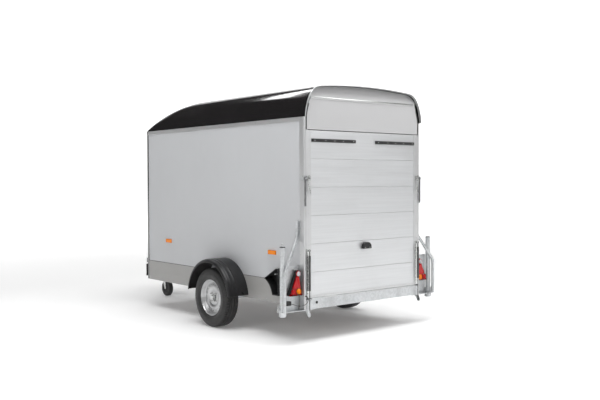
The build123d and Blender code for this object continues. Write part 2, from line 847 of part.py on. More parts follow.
# ---------------------------------------------------------------- axle
tube_x = axle_x + swing_arm_reach
tube_z = chassis_bottom - axle_tube_size / 2
tube_half = rail_out + 4.0
with BuildPart() as axle_tube:
    half_size = axle_tube_size / 2
    block(tube_x - half_size, tube_x + half_size, -tube_half, tube_half, tube_z - half_size, tube_z + half_size)
    inside = half_size - axle_tube_wall
    block(tube_x - inside, tube_x + inside, -tube_half, tube_half, tube_z - inside, tube_z + inside, Mode.SUBTRACT)
with BuildPart() as axle_bushes:
    block(tube_x - inside, tube_x + inside, tube_half - axle_bush_length, tube_half, tube_z - inside, tube_z + inside)
    rod_y(tube_x, tube_half - axle_bush_length, tube_half, tube_z, axle_shaft_radius + running_gap, Mode.SUBTRACT)
    mirror(about=Plane.XZ)
axle_tube.part += axle_bushes.part
finish(axle_tube, "axle_tube")

disc_face = wheel_y + rim_offset
arm_in = tube_half + moving_gap
arm_out = arm_in + swing_arm_thickness
back_plate_y = half_width + guard_arch_liner + 5.0
drum_in = back_plate_y + back_plate_thickness + 2.0


def around_axle(points, side):
    """Points given as distance from the middle plane and radius, turned into the wheel's section."""
    return [(side * y, wheel_z + radius) for y, radius in points]


wheel_axis = Axis((axle_x, 0, wheel_z), (0, 1, 0))
for side_name, side in SIDES:
    with BuildPart() as swing_arm:
        with BuildSketch(Plane.XZ.offset(-side * arm_in)):
            with Locations((tube_x, tube_z)):
                Circle(swing_arm_boss)
            with Locations((axle_x, wheel_z)):
                Circle(swing_arm_eye)
            make_hull()
        extrude(amount=-side * swing_arm_thickness)
        rod_y(tube_x, side * (tube_half - axle_bush_length), side * arm_in, tube_z, axle_shaft_radius)
        rod_y(axle_x, side * arm_out, side * (disc_face + rim_disc_thickness), wheel_z, spindle_radius)
        rod_y(
            axle_x, side * back_plate_y, side * (back_plate_y + back_plate_thickness), wheel_z,
            drum_radius - drum_wall - 2.0,
        )
        rod_y(axle_x, side * arm_out, side * back_plate_y, wheel_z, spindle_radius + 6.0)
    finish(swing_arm, f"swing_arm_{side_name}")

    with BuildPart() as hub:
        with BuildSketch(Plane.YZ.offset(axle_x)):
            with BuildLine():
                Polyline(
                    *around_axle(
                        [
                            (drum_in, drum_radius - drum_wall),
                            (drum_in, drum_radius),
                            (drum_in + drum_depth, drum_radius),
                            (drum_in + drum_depth, hub_radius),
                            (disc_face - hub_flange_thickness, hub_radius),
                            (disc_face - hub_flange_thickness, hub_flange_radius),
                            (disc_face, hub_flange_radius),
                            (disc_face, bearing_radius),
                            (drum_in + drum_depth - 2 * drum_wall, bearing_radius),
                            (drum_in + drum_depth - 2 * drum_wall, hub_radius),
                            (drum_in + drum_depth - drum_wall, hub_radius),
                            (drum_in + drum_depth - drum_wall, drum_radius - drum_wall),
                        ],
                        side,
                    ),
                    close=True,
                )
            make_face()
        revolve(axis=wheel_axis)
    with BuildPart() as bearings:
        for inner_face in (drum_in + drum_depth - 2 * drum_wall, disc_face - bearing_width):
            rod_y(axle_x, side * inner_face, side * (inner_face + bearing_width), wheel_z, bearing_radius)
            rod_y(
                axle_x, side * inner_face, side * (inner_face + bearing_width), wheel_z,
                spindle_radius + running_gap, Mode.SUBTRACT,
            )
    hub.part += bearings.part
    finish(hub, f"hub_{side_name}")

    rim_in, rim_out = wheel_y - rim_width / 2, wheel_y + rim_width / 2
    with BuildPart() as rim:
        with BuildSketch(Plane.YZ.offset(axle_x)):
            with BuildLine():
                seat, well, flange = rim_seat_radius, rim_well_radius, rim_flange_radius
                Polyline(
                    *around_axle(
                        [
                            (rim_in, flange), (rim_in + rim_wall, flange),
                            (rim_in + rim_wall, seat), (rim_in + 24.0, seat - 1.0),
                            (rim_in + 36.0, well), (rim_out - 42.0, well),
                            (rim_out - 26.0, seat - 1.0), (rim_out - rim_wall, seat),
                            (rim_out - rim_wall, flange), (rim_out, flange),
                            (rim_out, seat - rim_wall), (rim_out - 24.0, seat - 1.0 - rim_wall),
                            (rim_out - 40.0, well - rim_wall), (rim_in + 34.0, well - rim_wall),
                            (rim_in + 22.0, seat - 1.0 - rim_wall), (rim_in, seat - rim_wall),
                        ],
                        side,
                    ),
                    close=True,
                )
            make_face()
            with BuildLine():
                # disc: flat on the hub, raised ring, then down to the barrel
                skin = rim_disc_thickness
                rise = rim_disc_ring_rise
                Polyline(
                    *around_axle(
                        [
                            (disc_face, rim_bore_radius), (disc_face, 68.0),
                            (disc_face + rise, 88.0), (disc_face + rise, 104.0),
                            (disc_face + 2.0, 118.0), (disc_face - 4.0, well - rim_wall),
                            (disc_face - 4.0 - skin, well - rim_wall + 1.5), (disc_face - 4.0 - skin + 4.0, well),
                            (disc_face + 2.0 + skin, 120.0), (disc_face + rise + skin, 105.0),
                            (disc_face + rise + skin, 86.0), (disc_face + skin, 66.0),
                            (disc_face + skin, rim_bore_radius),
                        ],
                        side,
                    ),
                    close=True,
                )
            make_face()
        revolve(axis=wheel_axis)
        for index in range(vent_count):
            angle = radians(360.0 * (index + 0.5) / vent_count)
            rod_y(
                axle_x + vent_circle * sin(angle), side * (disc_face - 14.0), side * (disc_face + 14.0),
                wheel_z + vent_circle * cos(angle), vent_radius, Mode.SUBTRACT,
            )
    finish(rim, f"rim_{side_name}")

    with BuildPart() as tyre:
        half_tread, half_tyre = tyre_tread_flat / 2, tyre_width / 2
        bead = rim_width / 2 - rim_wall
        widest = (rim_flange_radius + tyre_radius) / 2 - 5.0
        with BuildSketch(Plane.YZ.offset(axle_x)):
            with BuildLine():
                left = around_axle([(wheel_y - bead, rim_seat_radius), (wheel_y - bead, rim_flange_radius + 2.0)], side)
                right = around_axle([(wheel_y + bead, rim_flange_radius + 2.0), (wheel_y + bead, rim_seat_radius)], side)
                bulge_in, shoulder_in, tread_in = around_axle(
                    [
                        (wheel_y - half_tyre, widest), (wheel_y - half_tread - 14.0, tyre_radius - 7.0),
                        (wheel_y - half_tread, tyre_radius),
                    ],
                    side,
                )
                tread_out, shoulder_out, bulge_out = around_axle(
                    [
                        (wheel_y + half_tread, tyre_radius), (wheel_y + half_tread + 14.0, tyre_radius - 7.0),
                        (wheel_y + half_tyre, widest),
                    ],
                    side,
                )
                foot = tyre_wall + 7.0
                crown = tyre_radius - tyre_wall
                inner = around_axle(
                    [
                        (wheel_y + bead - foot, rim_seat_radius - 1.0), (wheel_y + bead - foot, rim_flange_radius + 6.0),
                        (wheel_y + half_tyre - tyre_wall, widest), (wheel_y + half_tread, crown),
                        (wheel_y - half_tread, crown), (wheel_y - half_tyre + tyre_wall, widest),
                        (wheel_y - bead + foot, rim_flange_radius + 6.0), (wheel_y - bead + foot, rim_seat_radius - 1.0),
                    ],
                    side,
                )
                Line(left[0], left[1])
                ThreePointArc(left[1], bulge_in, shoulder_in)
                Line(shoulder_in, tread_in)
                Line(tread_in, tread_out)
                Line(tread_out, shoulder_out)
                ThreePointArc(shoulder_out, bulge_out, right[0])
                Line(right[0], right[1])
                Polyline(right[1], *inner, left[0])
            make_face()
        revolve(axis=wheel_axis)
        # keep clear of the rim: nothing of the tyre lies inside the bead seat
        rod_y(axle_x, side * (wheel_y - bead), side * (wheel_y + bead), wheel_z, rim_seat_radius, Mode.SUBTRACT)
    finish(tyre, f"tyre_{side_name}")

    with BuildPart() as wheel_nuts:
        hub_plane = Plane((axle_x, side * disc_face, wheel_z), x_dir=(1, 0, 0), z_dir=(0, side, 0))
        with BuildSketch(hub_plane.offset(rim_disc_thickness)):
            with PolarLocations(nut_circle_radius, nut_count, start_angle=45.0):
                RegularPolygon(nut_flats / 2, 6, major_radius=False)
        extrude(amount=nut_height)
        with BuildSketch(hub_plane):
            Circle(cap_radius)
        extrude(amount=rim_disc_thickness + cap_length)
        with BuildSketch(hub_plane):
            Circle(spindle_radius + 2.0)
        extrude(amount=rim_disc_thickness + cap_length - 3.0, mode=Mode.SUBTRACT)
    finish(wheel_nuts, f"wheel_nuts_{side_name}")

# ---------------------------------------------------------------- ramp door
plank_half = ramp_half - ramp_frame_width
with BuildPart() as ramp_frame:
    # side profiles, hollow
    block(rear_x, rear_x + ramp_thickness, plank_half, ramp_half, ramp_bottom, ramp_top)
    block(
        rear_x + plank_wall, rear_x + ramp_thickness - plank_wall, plank_half + plank_wall, ramp_half - plank_wall,
        ramp_bottom, ramp_top, Mode.SUBTRACT,
    )
    mirror(about=Plane.XZ)
with BuildPart() as ramp_leaf:
    leaf_low = hinge_z + hinge_knuckle_radius + 1.5
    block(rear_x - hinge_leaf_thickness, rear_x, -hinge_half, hinge_half, leaf_low, hinge_z + hinge_leaf_height + 4.0)
    knuckles(1, upwards=True)
    rod_y(hinge_x, -hinge_half, hinge_half, hinge_z, hinge_pin_radius + running_gap, Mode.SUBTRACT)
ramp_frame.part += ramp_leaf.part
finish(ramp_frame, "ramp_frame")

with BuildPart() as ramp_planks:
    first_plank = ramp_length - (plank_count - 1) * plank_pitch
    for index in range(plank_count):
        z1 = ramp_bottom + first_plank + index * plank_pitch
        z0 = ramp_bottom if index == 0 else z1 - plank_pitch
        z1 -= plank_joint if index < plank_count - 1 else 0.0
        block(rear_x + plank_inset, rear_x + ramp_thickness - plank_inset, -plank_half, plank_half, z0, z1)
        middle = (z0 + z1) / 2
        for low, high in ((z0 + plank_wall, middle - plank_wall / 2), (middle + plank_wall / 2, z1 - plank_wall)):
            block(
                rear_x + plank_inset + plank_wall, rear_x + ramp_thickness - plank_inset - plank_wall,
                -plank_half, plank_half, low, high, Mode.SUBTRACT,
            )
        if index < plank_count - 1:
            # tongue that runs into the next plank
            block(rear_x + 12.0, rear_x + 18.0, -plank_half, plank_half, z1, z1 + plank_joint)
finish(ramp_planks, "ramp_planks")

with BuildPart() as ramp_pads:
    for middle in (-1, 1):
        y0 = middle * pad_middle_gap / 2
        z1 = ramp_top - pad_from_top + 15.0
        block(
            rear_x + plank_inset - pad_thickness, rear_x + plank_inset, y0, y0 + middle * pad_length,
            z1 - pad_height, z1,
        )
    fillet(edges().filter_by(Axis.Y).group_by(Axis.X)[0], 5.0)
finish(ramp_pads, "ramp_pads")

with BuildPart() as plate_lamp:
    with BuildSketch(Plane.YZ.offset(rear_x + plank_inset)):
        with Locations((0, plate_lamp_bottom)):
            Ellipse(plate_lamp_width / 2, plate_lamp_height)
        with Locations((0, plate_lamp_bottom - plate_lamp_height)):
            Rectangle(2 * plate_lamp_width, 2 * plate_lamp_height, mode=Mode.SUBTRACT)
    extrude(amount=-plate_lamp_depth)
finish(plate_lamp, "plate_lamp")


def make_ramp_brackets(side):
    """Strut channel with the head clevis, and the lock's keeper, on one side of the ramp."""
    half = channel_width / 2
    ear = 4.0
    ear_in = strut_eye_width / 2 + moving_gap
    with BuildPart() as channel:
        y0, y1 = side * (strut_y - half), side * (strut_y + half)
        z0, z1 = ramp_bottom + channel_bottom_gap, strut_head_z + 14.0
        block(rear_x - channel_wall, rear_x, y0, y1, z0, z1)
        for y in (strut_y - half, strut_y + half - channel_wall):
            block(rear_x - channel_depth, rear_x, side * y, side * (y + channel_wall), z0, z1)
        for y in (strut_y - ear_in - ear, strut_y + ear_in):
            rod_y(strut_x, side * y, side * (y + ear), strut_head_z, strut_eye_radius)
            block(
                strut_x, rear_x, side * y, side * (y + ear), strut_head_z - strut_eye_radius,
                strut_head_z + strut_eye_radius,
            )
        rod_y(
            strut_x, side * (strut_y - ear_in - ear), side * (strut_y + ear_in + ear), strut_head_z, strut_pin_radius
        )
    with BuildPart() as keeper:
        keeper_out = ramp_half - 0.5
        block(
            rear_x - keeper_depth, rear_x, side * (keeper_out - keeper_width), side * keeper_out,
            lock_z - keeper_height / 2, lock_z + keeper_height / 2,
        )
        rod_x(
            rear_x - keeper_depth, rear_x, side * (keeper_out - keeper_width / 2), lock_z, keeper_width / 4,
            Mode.SUBTRACT,
        )
    return [channel.part, keeper.part]


ramp_brackets = Compound(children=[piece for _, side in SIDES for piece in make_ramp_brackets(side)])
ramp_brackets.label = "ramp_brackets"
export_step(ramp_brackets, "parts/ramp_brackets.step")

# ---------------------------------------------------------------- gas struts
swing = radians(ramp_open_angle)
head = (strut_x - hinge_x, strut_head_z - hinge_z)
foot = (strut_x - hinge_x, strut_foot_z - hinge_z)
open_head = (head[0] * cos(swing) - head[1] * sin(swing), head[0] * sin(swing) + head[1] * cos(swing))
strut_length = strut_head_z - strut_foot_z
open_length = hypot(open_head[0] - foot[0], open_head[1] - foot[1])
strut_stroke = strut_length - open_length
down_angle = atan2(-cos(swing), sin(swing))
strut_angle = atan2(foot[1] - open_head[1], foot[0] - open_head[0])
strut_turn = degrees(down_angle - strut_angle)
print(f"strut closes by {strut_stroke:.2f} mm and turns {strut_turn:.3f} degrees against the ramp")

cylinder_top = strut_head_z - 46.0
cylinder_bottom = cylinder_top - strut_cylinder_length
for side_name, side in SIDES:
    y = side * strut_y
    eye = strut_eye_width / 2
    with BuildPart() as strut_cylinder:
        rod_z(strut_x, y, cylinder_bottom, cylinder_top, strut_cylinder_radius)
        rod_z(strut_x, y, cylinder_top, strut_head_z, strut_rod_radius + 1.0)
        rod_y(strut_x, y - eye, y + eye, strut_head_z, strut_eye_radius)
        rod_z(
            strut_x, y, cylinder_bottom + 12.0, cylinder_top - 4.0, strut_cylinder_radius - strut_cylinder_wall,
            Mode.SUBTRACT,
        )
        rod_z(strut_x, y, cylinder_bottom, cylinder_bottom + 12.0, strut_rod_radius + running_gap, Mode.SUBTRACT)
        rod_y(strut_x, y - eye, y + eye, strut_head_z, strut_pin_radius + running_gap, Mode.SUBTRACT)
    finish(strut_cylinder, f"strut_cylinder_{side_name}")
    with BuildPart() as strut_rod:
        piston_z = cylinder_bottom + 12.0 + 2.0
        rod_z(strut_x, y, strut_foot_z, piston_z, strut_rod_radius)
        rod_z(strut_x, y, piston_z, piston_z + 12.0, strut_cylinder_radius - strut_cylinder_wall - running_gap)
        rod_y(strut_x, y - eye, y + eye, strut_foot_z, strut_eye_radius)
    finish(strut_rod, f"strut_rod_{side_name}")

# ---------------------------------------------------------------- ramp lock handles
for side_name, side in SIDES:
    hub_out = rear_x - lock_plate_thickness - moving_gap
    hub_in = hub_out - lock_hub_length
    y = side * lock_y
    with BuildPart() as lock_handle:
        rod_x(hub_in, hub_out, y, lock_z, lock_hub_radius)
        middle = (hub_in + hub_out) / 2
        half = lock_handle_thickness / 2
        block(
            middle - half, middle + half, y - lock_handle_width / 2, y + lock_handle_width / 2,
            lock_z - lock_handle_length, lock_z,
        )
        rod_x(hub_in, hub_out, y, lock_z, lock_pin_radius + running_gap, Mode.SUBTRACT)
    finish(lock_handle, f"lock_handle_{side_name}")

# ---------------------------------------------------------------- steady legs and their clamp screws
for side_name, side in SIDES:
    y = side * leg_y
    with BuildPart() as leg:
        rod_z(leg_x, y, leg_bottom, leg_top, leg_radius)
        rod_z(leg_x, y, leg_bottom + 5.0, leg_top - 3.0, leg_radius - leg_wall, Mode.SUBTRACT)
    finish(leg, f"leg_{side_name}")
    screw_z = (chassis_bottom + collar_top) / 2 + 4.0
    with BuildPart() as leg_screw:
        tip = leg_y + leg_radius + moving_gap
        rod_y(leg_x, side * tip, side * (tip + screw_length), screw_z, screw_radius)
        rod_z(
            leg_x, side * (tip + screw_length - 2 * screw_bar_radius), screw_z - screw_bar_length / 2,
            screw_z + screw_bar_length / 2, screw_bar_radius,
        )
    finish(leg_screw, f"leg_screw_{side_name}")

# ---------------------------------------------------------------- wheel chocks
for side_name, side in SIDES:
    chock_in = wall_out + chock_holder_thickness + moving_gap
    chock_plane = Plane.XZ.offset(-side * chock_in)
    tip, seat, heel = [(rear_x + x, z) for x, z in (chock_tip, chock_seat, chock_heel)]
    back = rear_x + chock_back_from_rear
    with BuildPart() as chock:
        with BuildSketch(chock_plane) as chock_outline:
            with BuildLine():
                Polyline(tip, (back + 38.0, chock_top), (back, chock_top), (back, chock_heel[1]), heel)
                ThreePointArc(heel, seat, tip)
            make_face()
        extrude(amount=-side * chock_width)
        with BuildSketch(chock_plane.offset(-side * chock_wall)):
            add(chock_outline.sketch.faces()[0].moved(Location((0, -side * chock_wall, 0))))
            offset(amount=-chock_wall, kind=Kind.INTERSECTION, mode=Mode.REPLACE)
        extrude(amount=-side * chock_width, mode=Mode.SUBTRACT)
        rod_y(
            peg_x, side * chock_in, side * (chock_in + chock_wall), chock_peg_z, chock_peg_radius + running_gap,
            Mode.SUBTRACT,
        )
    finish(chock, f"chock_{side_name}")

# ---------------------------------------------------------------- drawbar
arm_rear = tube_x + axle_tube_size / 2
apex_x = rear_x + apex_from_rear
arm_top = chassis_bottom
arm_bottom = arm_top - arm_height
arm_cos = 1 / sqrt(1 + arm_slope**2)


def arm_line(x, edge):
    """Y of a line parallel to the left arm, edge mm outside its middle."""
    return apex_half_gap + arm_slope * (apex_x - x) + edge / arm_cos


with BuildPart() as drawbar_arms:
    for edge, low, high, mode in (
        (arm_width / 2, arm_bottom, arm_top, Mode.ADD),
        (arm_width / 2 - arm_wall, arm_bottom + arm_wall, arm_top - arm_wall, Mode.SUBTRACT),
    ):
        with BuildSketch(Plane.XY.offset(low)):
            with BuildLine():
                Polyline(
                    (arm_rear, arm_line(arm_rear, -edge)), (arm_rear, arm_line(arm_rear, edge)),
                    (apex_x, arm_line(apex_x, edge)), (apex_x, arm_line(apex_x, -edge)), close=True,
                )
            make_face()
        extrude(amount=high - low, mode=mode)
    mirror(about=Plane.XZ)
for low in (arm_top, arm_bottom - head_plate_thickness):
    with BuildPart() as head_plate:
        back = apex_x - head_plate_length
        edge = arm_width / 2
        with BuildSketch(Plane.XY.offset(low)):
            with BuildLine():
                Polyline(
                    (back, arm_line(back, edge)), (apex_x, arm_line(apex_x, edge)),
                    (apex_x, -arm_line(apex_x, edge)), (back, -arm_line(back, edge)), close=True,
                )
            make_face()
        extrude(amount=head_plate_thickness)
    drawbar_arms.part += head_plate.part
finish(drawbar_arms, "drawbar_arms")

# ---------------------------------------------------------------- overrun coupling
housing_front = rear_x + coupling_from_rear - gaiter_length
housing_back = housing_front - housing_length
housing_base = arm_top + head_plate_thickness
with BuildPart() as overrun_housing:
    block(
        housing_back, housing_front, -housing_width / 2, housing_width / 2, housing_base, housing_base + housing_height
    )
    fillet(edges().filter_by(Axis.X).group_by(Axis.Z)[-1], 18.0)
    rod_x(housing_back + 20.0, housing_front, 0, draw_axis_z, draw_tube_radius + running_gap, Mode.SUBTRACT)
    # ear and pin for the parking brake lever
    brake_x, brake_z = housing_back + 60.0, housing_base + housing_height - 38.0
    pivot_end = -housing_width / 2 - 12.0 - brake_lever_thickness - 4.0
    rod_y(brake_x, -housing_width / 2, pivot_end, brake_z, brake_pivot_radius)
finish(overrun_housing, "overrun_housing")

sleeve_back = rear_x + coupling_from_rear
tube_front = sleeve_back + coupling_sleeve_length
with BuildPart() as draw_tube:
    rod_x(tube_front - draw_tube_length, tube_front, 0, draw_axis_z, draw_tube_radius)
    rod_x(
        tube_front - draw_tube_length, tube_front, 0, draw_axis_z, draw_tube_radius - draw_tube_wall,
        Mode.SUBTRACT,
    )
finish(draw_tube, "draw_tube")

with BuildPart() as gaiter:
    with BuildSketch(Plane.XZ):
        fold = gaiter_length / gaiter_folds
        crest = [
            (housing_front + fold * (index + share), draw_axis_z + radius)
            for index in range(gaiter_folds)
            for share, radius in ((0.0, gaiter_waist), (0.5, gaiter_radius))
        ]
        bore = draw_axis_z + draw_tube_radius + 1.0
        with BuildLine():
            Polyline(
                *crest, (housing_front + gaiter_length, draw_axis_z + gaiter_waist),
                (housing_front + gaiter_length, bore), (housing_front, bore), close=True,
            )
        make_face()
    revolve(axis=Axis((0, 0, draw_axis_z), (1, 0, 0)))
finish(gaiter, "gaiter")

ball_x = rear_x + ball_from_rear
cup_bottom = draw_axis_z - coupling_cup_height / 2
cup_top = draw_axis_z + coupling_cup_height / 2
with BuildPart() as coupling_head:
    half = coupling_sleeve_half
    block(sleeve_back, tube_front + 6.0, -half, half, draw_axis_z - half, draw_axis_z + half)
    rod_z(ball_x, 0, cup_bottom, cup_top, coupling_cup_radius)
    neck = coupling_neck_width / 2
    block(tube_front + 6.0, ball_x, -neck, neck, draw_axis_z - neck, cup_top)
    fillet(edges().filter_by(Axis.X), 6.0)
    rod_x(sleeve_back, tube_front, 0, draw_axis_z, draw_tube_radius, Mode.SUBTRACT)
    rod_z(ball_x, 0, cup_bottom, cup_bottom + socket_depth, coupling_ball_radius + ball_gap, Mode.SUBTRACT)
    handle_x = ball_x - handle_pivot_back
    handle_z = cup_top + 12.0
    for side in (-1, 1):
        block(handle_x - 9.0, handle_x + 9.0, side * 10.0, side * 16.0, cup_top, handle_z)
        rod_y(handle_x, side * 10.0, side * 16.0, handle_z, 9.0)
    rod_y(handle_x, -16.0, 16.0, handle_z, handle_pivot_radius)
finish(coupling_head, "coupling_head")

with BuildPart() as coupling_handle:
    rod_y(handle_x, -10.0 + moving_gap, 10.0 - moving_gap, handle_z, 9.0)
    with BuildSketch(Plane.XZ.offset(-10.0 + moving_gap)):
        with BuildLine():
            Polyline(
                (handle_x, handle_z + 9.0), (handle_x - 60.0, handle_z + 30.0),
                (handle_x - handle_length, handle_z + 42.0), (handle_x - handle_length, handle_z + 28.0),
                (handle_x - 60.0, handle_z + 14.0), (handle_x, handle_z), close=True,
            )
        make_face()
    extrude(amount=20.0 - 2 * moving_gap)
    rod_y(handle_x, -10.0, 10.0, handle_z, handle_pivot_radius + running_gap, Mode.SUBTRACT)
finish(coupling_handle, "coupling_handle")

with BuildPart() as handbrake_lever:
    lever_out = -housing_width / 2 - 12.0
    lever_plane = Plane.XZ.offset(-lever_out)
    with BuildSketch(lever_plane):
        with Locations((brake_x, brake_z)):
            Circle(brake_lever_width * 0.75)
        with Locations((brake_x, brake_z + brake_lever_length / 2)):
            Rectangle(brake_lever_width, brake_lever_length)
        with Locations((brake_x, brake_z)):
            Circle(brake_pivot_radius + running_gap, mode=Mode.SUBTRACT)
    extrude(amount=brake_lever_thickness)
    middle = lever_out - brake_lever_thickness / 2
    rod_z(brake_x, middle, brake_z + brake_lever_length, brake_z + brake_lever_length + 110.0, 15.0)
finish(handbrake_lever, "handbrake_lever")

# ---------------------------------------------------------------- jockey wheel
jockey_x = rear_x + jockey_from_rear
clamp_top = jockey_clamp_bottom + jockey_clamp_height
with BuildPart() as jockey_clamp:
    ring = jockey_tube_radius + jockey_clamp_wall
    rod_z(jockey_x, jockey_y, jockey_clamp_bottom, clamp_top, ring)
    # arm of the clamp, which stands on the drawbar's top plate
    with BuildSketch(Plane.XY.offset(housing_base)):
        with BuildLine():
            near, far = jockey_x + 6.0, jockey_x + 46.0
            Polyline(
                (near, housing_width / 2), (near, arm_line(near, arm_width / 2)),
                (far, arm_line(far, arm_width / 2)), (far, housing_width / 2), close=True,
            )
        make_face()
    extrude(amount=bracket_thickness)
    block(
        near, near + bracket_thickness + 3.0, housing_width / 2, jockey_y, housing_base, clamp_top,
    )
    block(
        near, near + bracket_thickness + 3.0, arm_line(near, arm_width / 2), jockey_y + ring,
        housing_base, jockey_clamp_bottom, Mode.SUBTRACT,
    )
    rod_z(jockey_x, jockey_y, housing_base, clamp_top, jockey_tube_radius + running_gap, Mode.SUBTRACT)
finish(jockey_clamp, "jockey_clamp")

inner_radius = jockey_tube_radius - jockey_tube_wall
with BuildPart() as jockey_tube:
    rod_z(jockey_x, jockey_y, jockey_tube_bottom, jockey_tube_top, jockey_tube_radius)
    rod_z(jockey_x, jockey_y, jockey_tube_bottom, jockey_tube_top - 12.0, inner_radius + running_gap, Mode.SUBTRACT)
    rod_z(jockey_x, jockey_y, jockey_tube_top - 12.0, jockey_tube_top, crank_rod_radius + running_gap, Mode.SUBTRACT)
finish(jockey_tube, "jockey_tube")

spindle_top = jockey_tube_top - 60.0
with BuildPart() as jockey_inner:
    inner_top = spindle_top - 100.0
    rod_z(jockey_x, jockey_y, jockey_crown_top + moving_gap, inner_top, inner_radius)
    rod_z(
        jockey_x, jockey_y, jockey_crown_top, jockey_crown_top + 60.0, jockey_swivel_radius + running_gap,
        Mode.SUBTRACT,
    )
    rod_z(jockey_x, jockey_y, jockey_crown_top + 80.0, inner_top - 12.0, crank_rod_radius + 2.0, Mode.SUBTRACT)
    rod_z(jockey_x, jockey_y, inner_top - 13.0, inner_top, crank_rod_radius + running_gap, Mode.SUBTRACT)
finish(jockey_inner, "jockey_inner")

with BuildPart() as jockey_fork:
    wheel_x = jockey_x - jockey_trail
    outer = jockey_wheel_width / 2 + jockey_fork_gap + jockey_fork_thickness
    crown_bottom = jockey_crown_top - jockey_crown_thickness
    block(
        wheel_x - 10.0, jockey_x + 20.0, jockey_y - outer, jockey_y + outer, crown_bottom, jockey_crown_top
    )
    rod_z(jockey_x, jockey_y, jockey_crown_top, jockey_crown_top + 50.0, jockey_swivel_radius)
    for side in (-1, 1):
        face = jockey_y + side * (outer - jockey_fork_thickness)
        with BuildSketch(Plane.XZ.offset(-min(face, face + side * jockey_fork_thickness))):
            with BuildLine():
                Polyline(
                    (wheel_x - 14.0, jockey_wheel_radius), (wheel_x + 14.0, jockey_wheel_radius),
                    (jockey_x + 16.0, crown_bottom), (wheel_x - 4.0, crown_bottom), close=True,
                )
            make_face()
            with Locations((wheel_x, jockey_wheel_radius)):
                Circle(14.0)
        extrude(amount=-jockey_fork_thickness)
    rod_y(wheel_x, jockey_y - outer, jockey_y + outer, jockey_wheel_radius, jockey_pin_radius)
finish(jockey_fork, "jockey_fork")

with BuildPart() as jockey_wheel:
    half = jockey_wheel_width / 2
    rod_y(wheel_x, jockey_y - half, jockey_y + half, jockey_wheel_radius, jockey_wheel_radius)
    fillet(edges().filter_by(GeomType.CIRCLE), 10.0)
    for side in (-1, 1):
        rod_y(
            wheel_x, jockey_y + side * (half - 9.0), jockey_y + side * half, jockey_wheel_radius,
            jockey_wheel_radius * 0.62, Mode.SUBTRACT,
        )
    rod_y(wheel_x, jockey_y - half, jockey_y + half, jockey_wheel_radius, 16.0)
    rod_y(
        wheel_x, jockey_y - half, jockey_y + half, jockey_wheel_radius, jockey_pin_radius + running_gap, Mode.SUBTRACT
    )
finish(jockey_wheel, "jockey_wheel")

with BuildPart() as jockey_crank:
    rod_z(jockey_x, jockey_y, spindle_top - 190.0, jockey_tube_top + 24.0, crank_rod_radius)
    rod_z(jockey_x, jockey_y, jockey_tube_top + moving_gap, jockey_tube_top + 24.0, 14.0)
    block(
        jockey_x - crank_throw, jockey_x, jockey_y - 8.0, jockey_y + 8.0,
        jockey_tube_top + 16.0, jockey_tube_top + 24.0,
    )
    grip_x = jockey_x - crank_throw
    rod_z(grip_x, jockey_y, jockey_tube_top + 16.0, jockey_tube_top + 24.0 + crank_grip_length, 8.0)
    rod_z(grip_x, jockey_y, jockey_tube_top + 28.0, jockey_tube_top + 24.0 + crank_grip_length, crank_grip_radius)
finish(jockey_crank, "jockey_crank")

# ---------------------------------------------------------------- loop of lamp cable
cable_end = (junction_x - junction_size[0] / 2, junction_y - junction_size[1] / 2, junction_bottom + 10.0)
cable_route = [
    cable_exit,
    (rear_x - 20.0, pillar_in + 7.0, 428.0),
    (rear_x - 35.5, pillar_in + 8.5, 419.5),
    (rear_x - 44.0, pillar_in + 11.0, 404.0),
    (rear_x - 43.5, pillar_in + 16.0, 384.0),
    (rear_x - 32.0, pillar_in + 23.0, 364.0),
    (rear_x - 12.0, pillar_in + 36.0, 349.0),
    (rear_x + 14.0, pillar_in + 56.0, 342.0),
    (rear_x + 36.0, pillar_in + 76.0, 346.0),
    (rear_x + 52.0, pillar_in + 96.0, 354.0),
    (cable_end[0], cable_end[1] - 18.0, cable_end[2]),
    cable_end,
]


def bend_radii(route):
    """The largest tangent arc that each inner point's two runs allow."""
    radii = []
    for before, point, after in zip(route, route[1:], route[2:]):
        inward = Vector(point) - Vector(before)
        outward = Vector(after) - Vector(point)
        turn = radians(inward.get_angle(outward))
        radii.append(0.45 * min(inward.length, outward.length) / tan(turn / 2))
    return radii


cable_radii = bend_radii(cable_route)
print("cable bend radii", [round(radius, 1) for radius in cable_radii])
with BuildPart() as cable_loop:
    with BuildLine() as cable_line:
        FilletPolyline(*cable_route, radius=cable_radii)
    with BuildSketch(Plane(cable_route[0], z_dir=(-1, 0, 0))):
        Circle(cable_radius)
    sweep(path=cable_line.line)
cable_length = sum(edge.length for edge in cable_line.edges())
expected = 3.14159265 * cable_radius**2 * cable_length
print(f"cable length {cable_length:.1f} mm, volume {cable_loop.part.volume:.0f} of {expected:.0f}")
finish(cable_loop, "cable_loop")

print(f"overall length {overall_length:.1f}, rear face at x {rear_x:.2f}, axle at x {axle_x:.2f}")
print(f"hinge at x {hinge_x:.2f} z {hinge_z:.2f}, strut at x {strut_x:.2f}, ball at x {ball_x:.2f}")
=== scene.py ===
"""Looks of the single-axle box trailer: its surfaces, fittings and finishes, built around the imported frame.

Metres. +X is the direction of travel, +Y the left side and +Z up, as in the frame.
"""

import json
import math

import bmesh
import bpy
from bpy.props import FloatProperty, FloatVectorProperty, IntProperty, PointerProperty
from mathutils import Matrix, Vector

